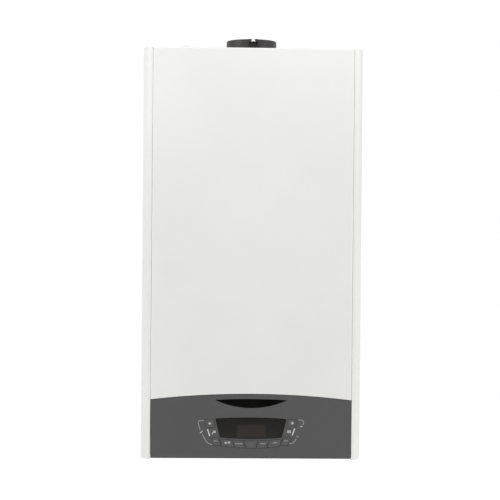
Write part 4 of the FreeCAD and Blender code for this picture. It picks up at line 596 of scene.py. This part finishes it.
def stroke(points, width):
    """Outline of a line with round ends along the points, in millimetres."""
    half = width / 2
    path = [Vector(point) for point in points]
    along = [(b - a).normalized() for a, b in zip(path, path[1:])]
    left, right = [], []
    for index, point in enumerate(path):
        before = along[max(index - 1, 0)]
        after = along[min(index, len(along) - 1)]
        middle = (before + after).normalized()
        reach = half / max(middle.dot(before), 0.4)
        side = Vector((-middle.y, middle.x)) * reach
        left.append(point + side)
        right.append(point - side)
    ends = []
    for point, way in ((path[-1], along[-1]), (path[0], -along[0])):
        turn = math.atan2(way.y, way.x)
        arc = []
        for step in range(1, LINE_END_STEPS):
            angle = turn + math.pi / 2 - math.pi * step / LINE_END_STEPS
            arc.append(point + half * Vector((math.cos(angle), math.sin(angle))))
        ends.append(arc)
    return left + ends[0] + right[::-1] + ends[1]


def dot(place, radius):
    return arc_points(place, radius, 0, 360 - 360 / DOT_STEPS, DOT_STEPS - 1)


def dash(left, right, z):
    return stroke([(left, z), (right, z)], SIGN_LINE)


def plus_sign(x, z):
    """Plus sign as three corners that repeat at each quarter turn."""
    half = SIGN_SIZE / 2
    thin = SIGN_LINE / 2
    corners = [(half, -thin), (half, thin), (thin, thin)]
    outline = []
    for quarter in range(4):
        outline += corners
        corners = [(-dz, dx) for dx, dz in corners]
    return shifted(outline, (x, z))


# Printed marks on the fascia and keys

def printed(name, body, outlines, face, ink):
    """Thin raised print made of closed outlines on a face that looks to the front."""
    form = bmesh.new()
    for outline in outlines:
        front, back = [], []
        for x, z in outline:
            front.append(form.verts.new((x * MM, face - PRINT_PROUD, CASING_BOTTOM + z * MM)))
            back.append(form.verts.new((x * MM, face + PRINT_SUNK, CASING_BOTTOM + z * MM)))
        form.faces.new(front)
        form.faces.new(back[::-1])
        for index in range(len(outline)):
            after = (index + 1) % len(outline)
            form.faces.new((front[index], back[index], back[after], front[after]))
    bmesh.ops.recalc_face_normals(form, faces=form.faces)
    piece = object_from(name, form, ink)
    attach(piece, body)


PALE_INK = print_ink("pale_print", (0.62, 0.62, 0.61))
GREY_INK = print_ink("grey_print", (0.36, 0.36, 0.36))
FAINT_INK = print_ink("faint_print", (0.145, 0.145, 0.145))

mode_sign = [dot(place, MODE_DOT_R) for place in MODE_DOTS] + [stroke(MODE_SLASH, MODE_LINE)]
power_ring = arc_points((POWER_X, POWER_Z), POWER_R, *POWER_OPEN, POWER_STEPS)
power_sign = [stroke(power_ring, POWER_LINE), stroke([(POWER_X, z) for z in POWER_BAR], POWER_LINE)]
KEY_MARKS = [
    ("plus_mark_left", "key_dhw_plus", [plus_sign(-74.4, 65.1)], PALE_INK),
    ("plus_mark_right", "key_heat_plus", [plus_sign(75.0, 66.6)], PALE_INK),
    ("minus_mark_left", "key_dhw_minus", [dash(-66.2, -61.0, 33.6)], GREY_INK),
    ("minus_mark_right", "key_heat_minus", [dash(60.9, 66.1, 34.5)], GREY_INK),
    ("mode_mark", "key_mode", mode_sign, PALE_INK),
    ("comfort_mark", "key_comfort", [dash(-28.0, -14.8, 28.5)], GREY_INK),
    ("auto_mark", "key_auto", [dash(17.9, 25.7, 29.0)], GREY_INK),
    ("menu_mark", "key_menu", [dash(41.0, 47.7, 30.7)], GREY_INK),
    ("power_mark", "key_power", power_sign, FAINT_INK),
]
for name, key, outlines, ink in KEY_MARKS:
    printed(name, key, outlines, KEY_FACE, ink)

tap = [shifted(TAP_OUTLINE, TAP_PLACE), dot(DROP_PLACE, DROP_R)]
radiator = []
for fin in RADIATOR_FINS:
    x = RADIATOR_X + fin
    radiator.append(stroke([(x, RADIATOR_LOW), (x, RADIATOR_HIGH)], FIN_LINE))
FASCIA_MARKS = [
    ("tap_pictogram", tap, PALE_INK),
    ("radiator_pictogram", radiator, PALE_INK),
    ("left_level_bar", [stroke(LEFT_BAR, BAR_LINE)], PALE_INK),
    ("right_level_bar", [stroke(RIGHT_BAR, BAR_LINE)], PALE_INK),
    ("left_bracket", [stroke(path, BRACKET_LINE) for path in LEFT_BRACKET], GREY_INK),
    ("left_tick", [stroke(LEFT_TICK, TICK_LINE)], PALE_INK),
    ("right_bracket", [stroke(path, BRACKET_LINE) for path in RIGHT_BRACKET], GREY_INK),
    ("right_tick", [stroke(RIGHT_TICK, TICK_LINE)], PALE_INK),
]
for name, outlines, ink in FASCIA_MARKS:
    printed(name, "control_panel", outlines, FASCIA_FACE, ink)


# Screws, and the seal in the air duct, which also stands as painted shade in the collar's pocket

def cross_reach(angle, length, width):
    """How far a cross-shaped recess reaches from its middle in a direction."""
    along = abs(math.cos(angle)) + 1e-6
    across = abs(math.sin(angle)) + 1e-6
    return max(min(length / along, width / across), min(length / across, width / along))


def pan_screw(name, body, place, axis, radius):
    """Pan-head screw with a cross recess, seated on a face and looking along the axis."""
    height = HEAD_HEIGHT * radius
    turn = Vector(axis).to_track_quat("Z", "Y")
    angles = full_turn(SCREW_STEPS)
    levels = [([share * radius] * SCREW_STEPS, level * height) for share, level in HEAD_PROFILE]
    for (length, width), level in ((RECESS_MOUTH, 1.0), (RECESS_FLOOR, RECESS_FLOOR_LEVEL)):
        reaches = [cross_reach(angle, length * radius, width * radius) for angle in angles]
        levels.append((reaches, level * height))
    form = bmesh.new()
    rings = []
    for reaches, level in levels:
        ring = []
        for angle, reach in zip(angles, reaches):
            spot = Vector((reach * math.cos(angle), reach * math.sin(angle), level))
            ring.append(form.verts.new(Vector(place) + turn @ spot))
        rings.append(ring)
    for lower, upper in zip(rings, rings[1:]):
        for step in range(SCREW_STEPS):
            after = (step + 1) % SCREW_STEPS
            form.faces.new((lower[step], lower[after], upper[after], upper[step]))
    form.faces.new(rings[0][::-1])
    form.faces.new(rings[-1])
    bmesh.ops.recalc_face_normals(form, faces=form.faces)
    piece = object_from(name, form, FINISHES["zinc"].material)
    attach(piece, body)


def lip_seal(name, body, middle, top, section):
    """Black rubber ring turned from a closed section of radius and depth around an upright axis; it also
    darkens the collar's pocket as painted shade.
    """
    form = bmesh.new()
    rings = []
    for angle in full_turn(SEAL_STEPS):
        ring = []
        for radius, depth in section:
            x = middle[0] + radius * MM * math.cos(angle)
            y = middle[1] + radius * MM * math.sin(angle)
            ring.append(form.verts.new((x, y, top - depth * MM)))
        rings.append(ring)
    for here, there in zip(rings, rings[1:] + rings[:1]):
        for index in range(len(section)):
            after = (index + 1) % len(section)
            face = form.faces.new((here[index], there[index], there[after], here[after]))
            face.smooth = True
    bmesh.ops.recalc_face_normals(form, faces=form.faces)
    piece = object_from(name, form, FINISHES["motor_black"].material)
    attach(piece, body)


for number in range(COLLAR_SCREWS):
    angle = 2 * math.pi * (number + 0.5) / COLLAR_SCREWS
    out = Vector((math.cos(angle), math.sin(angle), 0))
    spot = Vector((*FLUE_MIDDLE, TOP_FACE + COLLAR_SCREW_RISE)) + COLLAR_SCREW_CIRCLE * out
    lean = out * math.sin(COLLAR_SLOPE) + Vector((0, 0, math.cos(COLLAR_SLOPE)))
    pan_screw("collar_screw_%d" % (number + 1), "casing", spot, lean, COLLAR_SCREW_R)

# black rubber seal, also placed as a dark piece that stands for the shade in the collar's pocket
lip_seal("air_duct_seal_and_shade", "casing", FLUE_MIDDLE, COLLAR_TOP, SEAL_SECTION)

for number, height in enumerate(SIDE_SCREW_HEIGHTS):
    for label, side in (("left", -1), ("right", 1)):
        spot = (side * SIDE_FACE, SIDE_SCREW_Y, CASING_BOTTOM + height)
        pan_screw("%s_side_screw_%d" % (label, number + 1), "casing", spot, (side, 0, 0), SIDE_SCREW_R)


# Floor, light and camera

def floor_finish():
    """Matt pale floor that glows for the camera and in gloss, more so far out, and is clear from below."""
    finish = bpy.data.materials.new("pale_floor")
    finish.use_nodes = True
    tree = finish.node_tree
    tree.nodes.clear()
    seen = add(tree, "ShaderNodeLightPath")
    matt = add(tree, "ShaderNodeBsdfDiffuse", inputs={"Color": (FLOOR_TONE, FLOOR_TONE, FLOOR_TONE, 1.0)})
    glow = add(tree, "ShaderNodeEmission", inputs={"Color": (1, 1, 1, 1)})
    place = add(tree, "ShaderNodeTexCoord")
    reach = add(tree, "ShaderNodeVectorMath", operation="LENGTH")
    whiten = add(tree, "ShaderNodeMapRange", interpolation_type="SMOOTHSTEP",
                 inputs={"From Min": NEAR_RADIUS, "From Max": FAR_RADIUS,
                         "To Min": NEAR_GLOW, "To Max": FAR_GLOW})
    level = add(tree, "ShaderNodeMath", operation="MULTIPLY")
    either = add(tree, "ShaderNodeMath", operation="MAXIMUM")
    total = add(tree, "ShaderNodeAddShader")
    under = add(tree, "ShaderNodeNewGeometry")
    clear = add(tree, "ShaderNodeBsdfTransparent")
    sides = add(tree, "ShaderNodeMixShader")
    output = add(tree, "ShaderNodeOutputMaterial")
    tree.links.new(seen.outputs["Is Camera Ray"], either.inputs[0])
    tree.links.new(seen.outputs["Is Glossy Ray"], either.inputs[1])
    tree.links.new(place.outputs["Object"], reach.inputs[0])
    tree.links.new(reach.outputs["Value"], whiten.inputs["Value"])
    tree.links.new(either.outputs[0], level.inputs[0])
    tree.links.new(whiten.outputs["Result"], level.inputs[1])
    tree.links.new(level.outputs[0], glow.inputs["Strength"])
    tree.links.new(matt.outputs[0], total.inputs[0])
    tree.links.new(glow.outputs[0], total.inputs[1])
    tree.links.new(under.outputs["Backfacing"], sides.inputs[0])
    tree.links.new(total.outputs[0], sides.inputs[1])
    tree.links.new(clear.outputs[0], sides.inputs[2])
    tree.links.new(sides.outputs[0], output.inputs["Surface"])
    return finish


def make_floor():
    """Round floor below the boiler that takes its soft shadow."""
    form = bmesh.new()
    middle = form.verts.new((0.0, 0.0, 0.0))
    rings = []
    for radius in FLOOR_RADII:
        ring = []
        for angle in full_turn(FLOOR_STEPS):
            ring.append(form.verts.new((radius * math.cos(angle), radius * math.sin(angle), 0.0)))
        rings.append(ring)
    inner, outer = rings
    for step in range(FLOOR_STEPS):
        after = (step + 1) % FLOOR_STEPS
        form.faces.new((middle, inner[step], inner[after]))
        form.faces.new((inner[step], outer[step], outer[after], inner[after]))
    floor = object_from("studio_floor", form, floor_finish())
    floor.location = FLOOR_PLACE


def make_world():
    """White backdrop for the camera, reflections and glass, and an even soft fill for the rest."""
    world = bpy.data.worlds.new("white_studio")
    bpy.context.scene.world = world
    world.use_nodes = True
    tree = world.node_tree
    tree.nodes.clear()
    seen = add(tree, "ShaderNodeLightPath")
    first = add(tree, "ShaderNodeMath", operation="MAXIMUM")
    second = add(tree, "ShaderNodeMath", operation="MAXIMUM")
    tree.links.new(seen.outputs["Is Camera Ray"], first.inputs[0])
    tree.links.new(seen.outputs["Is Glossy Ray"], first.inputs[1])
    tree.links.new(first.outputs[0], second.inputs[0])
    tree.links.new(seen.outputs["Is Transmission Ray"], second.inputs[1])
    strength = add(tree, "ShaderNodeMapRange", inputs={"To Min": FILL, "To Max": 1.0})
    tree.links.new(second.outputs[0], strength.inputs["Value"])
    back = add(tree, "ShaderNodeBackground", inputs={"Color": (1, 1, 1, 1)})
    tree.links.new(strength.outputs["Result"], back.inputs["Strength"])
    output = add(tree, "ShaderNodeOutputWorld")
    tree.links.new(back.outputs[0], output.inputs["Surface"])


def softbox(name, place, target, width, height, watts):
    """Soft rectangular lamp that looks from its place at the target."""
    lamp = bpy.data.lights.new(name, "AREA")
    lamp.shape = "RECTANGLE"
    lamp.size = width
    lamp.size_y = height
    lamp.energy = watts
    holder = bpy.data.objects.new(name, lamp)
    holder.location = place
    aim = Vector(target) - Vector(place)
    holder.rotation_euler = aim.to_track_quat("-Z", "Y").to_euler()
    bpy.context.scene.collection.objects.link(holder)


def dark_card():
    """Black studio card behind the camera; gloss that faces the front mirrors it."""
    form = bmesh.new()
    low = [form.verts.new((side * CARD_HALF_WIDTH, CARD_Y, CARD_LOW)) for side in (-1, 1)]
    high = [form.verts.new((side * CARD_HALF_WIDTH, CARD_Y, CARD_HIGH)) for side in (1, -1)]
    form.faces.new(low + high)
    card = object_from("dark_card", form, Finish("black_card", (0.01, 0.01, 0.01), 0.9).material)
    card.visible_camera = False
    card.visible_diffuse = False
    card.visible_shadow = False
    card.visible_transmission = False


make_floor()
make_world()
softbox("high_softbox", place=(0.0, -0.95, 0.62), target=(0, -0.32, 0.05),
        width=1.5, height=0.5, watts=4.75)
softbox("left_softbox", place=(-1.2, -0.75, 0.42), target=(-0.2, -0.25, 0.02),
        width=0.4, height=0.6, watts=4.8)
softbox("right_softbox", place=(1.45, -0.9, 0.1), target=(0.2, -0.25, -0.15),
        width=0.5, height=1.0, watts=5.2)
for label, side in (("left", -1), ("right", 1)):
    softbox("low_%s_softbox" % label, place=(side * 0.75, -0.75, -0.9), target=(side * 0.2, -0.3, -0.70),
            width=0.3, height=0.2, watts=0.85)
dark_card()

camera = bpy.data.cameras.new("photo_camera")
camera.lens = CAMERA_LENS_MM
camera.sensor_width = CAMERA_SENSOR_MM
viewer = bpy.data.objects.new("photo_camera", camera)
viewer.location = CAMERA_PLACE
viewer.rotation_euler = (math.pi / 2 - CAMERA_DIP, CAMERA_ROLL, CAMERA_TURN)
bpy.context.scene.collection.objects.link(viewer)
bpy.context.scene.camera = viewer
bpy.context.scene.view_settings.view_transform = "Standard"
